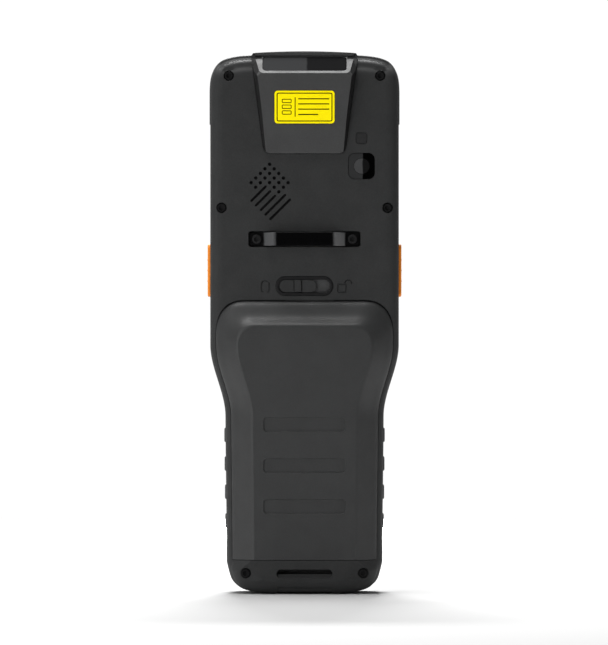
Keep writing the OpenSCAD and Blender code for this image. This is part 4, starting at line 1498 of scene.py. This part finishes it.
# ============================================================ port cover
pc = move(boss(rrf(24.8, 5.75, .9), 1.7, .2, .3), at(0, -1.475, 0)
          @ Matrix.Rotation(PI/2, 4, "X"))
bar_x = loft([[(x, 1.4 + r*math.cos(2*PI*i/28), 1.3 + r*math.sin(2*PI*i/28))
               for i in range(28)] for x, r in
              ((-12.4, .8), (-12.25, .95), (12.25, .95), (12.4, .8))])
plug = move(boss(rrf(6.4, 1.0, .4, 6), .6, 3.0, .2, s=1),
            at(0, -.1, 0) @ Matrix.Rotation(PI/2, 4, "X"))
pull = move(boss(rrf(7.0, .7, .3, 6), .4, .05, .12), at(0, -3.7, 0)
            @ Matrix.Rotation(PI/2, 4, "X"))
pc = csg(pc, [("+", bar_x), ("+", plug), ("+", pull)], "port")
place("port_flap", pc, "port_cover", M["rubber"], nodes=["io_cover"])

# ============================================================ inner pieces
for name, m in {
        "housing_gasket": "rubber_dark", "scan_engine": "module",
        "camera_module": "module", "flash_led": "silicone",
        "loudspeaker": "module", "speaker_mesh": "mesh",
        "latch_plate": "plate", "door_seal": "rubber_dark",
        "battery_pack": "battery", "battery_contacts": "contact",
        "side_switches": "metal", "main_board": "board",
        "lcd_module": "metal", "keypad_board": "board",
        "key_mat": "silicone", "earpiece_mesh": "mesh",
        "usb_connector": "metal"}.items():
    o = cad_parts[name]
    if not o.material_slots:
        o.data.materials.append(None)
    for sl in o.material_slots:
        sl.material = M[m]


# ============================================================ studio
def floor_mat():
    """White paper; it lights the object less than it shows."""
    m = bpy.data.materials.new("floor_paper")
    m.use_nodes = True
    t = m.node_tree
    t.nodes.clear()
    out = t.nodes.new("ShaderNodeOutputMaterial")
    mx = t.nodes.new("ShaderNodeMixShader")
    pt = t.nodes.new("ShaderNodeLightPath")
    a, b = (t.nodes.new("ShaderNodeBsdfDiffuse") for _ in range(2))
    a.inputs["Color"].default_value = (.60, .60, .60, 1)
    co = t.nodes.new("ShaderNodeTexCoord")
    ln = t.nodes.new("ShaderNodeVectorMath")
    ln.operation = "LENGTH"
    t.links.new(co.outputs["Object"], ln.inputs[0])
    rp = t.nodes.new("ShaderNodeMapRange")
    for key, val in (("From Min", .36), ("From Max", .75), ("To Min", FLOOR),
                     ("To Max", 3.2)):
        rp.inputs[key].default_value = val
    t.links.new(ln.outputs["Value"], rp.inputs["Value"])
    t.links.new(rp.outputs["Result"], b.inputs["Color"])
    t.links.new(pt.outputs["Is Camera Ray"], mx.inputs[0])
    t.links.new(a.outputs[0], mx.inputs[1])
    t.links.new(b.outputs[0], mx.inputs[2])
    t.links.new(mx.outputs[0], out.inputs[0])
    return m


FLOOR = .43


def plane(name, sx, sy, mat, loc):
    me = bpy.data.meshes.new(name)
    me.from_pydata([(loc[0] + sx/2*math.cos(2*PI*i/96),
                     loc[1] + sy/2*math.sin(2*PI*i/96), loc[2])
                    for i in range(96)], [], [tuple(range(96))])
    o = bpy.data.objects.new(name, me)
    bpy.context.scene.collection.objects.link(o)
    me.materials.append(mat)
    return o


floor = plane("floor", 1.5, 1.5, floor_mat(), (0, 0, -.00005))


def light(name, size, power, loc, target, col=(1, 1, 1), spread=180):
    l = bpy.data.lights.new(name, "AREA")
    l.shape = "RECTANGLE"
    l.size, l.size_y = size
    l.energy = power
    l.color = col
    l.spread = math.radians(spread)
    o = bpy.data.objects.new(name, l)
    bpy.context.scene.collection.objects.link(o)
    o.location = loc
    d = Vector(target) - Vector(loc)
    o.rotation_euler = d.to_track_quat("-Z", "Y").to_euler()
    o.visible_camera = False
    return o


light("top_softbox", (.70, .40), 14.0, (-.10, .05, 1.02), (0, 0, .12))
light("back_softbox", (.34, .12), 24.0, (-.01, .80, .98), (0, 0, .05))
light("left_softbox", (.30, .60), 1.52, (-.34, -.42, .225), (0, 0, .1))

w = bpy.data.worlds.new("studio")
bpy.context.scene.world = w
w.use_nodes = True
t = w.node_tree
t.nodes.clear()
outn = t.nodes.new("ShaderNodeOutputWorld")
mixn = t.nodes.new("ShaderNodeMixShader")
lp = t.nodes.new("ShaderNodeLightPath")
white = t.nodes.new("ShaderNodeBackground")
white.inputs["Color"].default_value = (1, 1, 1, 1)
white.inputs["Strength"].default_value = 1.02
amb = t.nodes.new("ShaderNodeBackground")
tc = t.nodes.new("ShaderNodeTexCoord")
sep = t.nodes.new("ShaderNodeSeparateXYZ")
t.links.new(tc.outputs["Generated"], sep.inputs[0])
mr = t.nodes.new("ShaderNodeMapRange")
for kk, vv in (("From Min", -.4), ("From Max", .5), ("To Min", .14),
               ("To Max", .6)):
    mr.inputs[kk].default_value = vv
t.links.new(sep.outputs["Y"], mr.inputs["Value"])
mx = t.nodes.new("ShaderNodeMapRange")
for kk, vv in (("From Min", -.6), ("From Max", .9), ("To Min", 1.1),
               ("To Max", .62)):
    mx.inputs[kk].default_value = vv
t.links.new(sep.outputs["X"], mx.inputs["Value"])
ml = t.nodes.new("ShaderNodeMath")
ml.operation = "MULTIPLY"
t.links.new(mr.outputs["Result"], ml.inputs[0])
t.links.new(mx.outputs["Result"], ml.inputs[1])
t.links.new(ml.outputs[0], amb.inputs["Strength"])
amb.inputs["Color"].default_value = (1, 1, 1, 1)
t.links.new(lp.outputs["Is Camera Ray"], mixn.inputs[0])
t.links.new(amb.outputs[0], mixn.inputs[1])
t.links.new(white.outputs[0], mixn.inputs[2])
t.links.new(mixn.outputs[0], outn.inputs[0])

sc = bpy.context.scene
sc.view_settings.view_transform = "Standard"
sc.view_settings.look = "None"
sc.view_settings.exposure = 0
sc.view_settings.gamma = 1

LENS = 300
cam = bpy.data.cameras.new("camera")
cam.lens = LENS
cam.sensor_width = 36
cam.sensor_fit = "AUTO"
cam.clip_start = .05
cam.clip_end = 60
co = bpy.data.objects.new("camera", cam)
sc.collection.objects.link(co)
co.location = (-.0002, -.0055 - .23865*LENS/36, .1002)
co.rotation_euler = (PI/2, 0, 0)
sc.camera = co
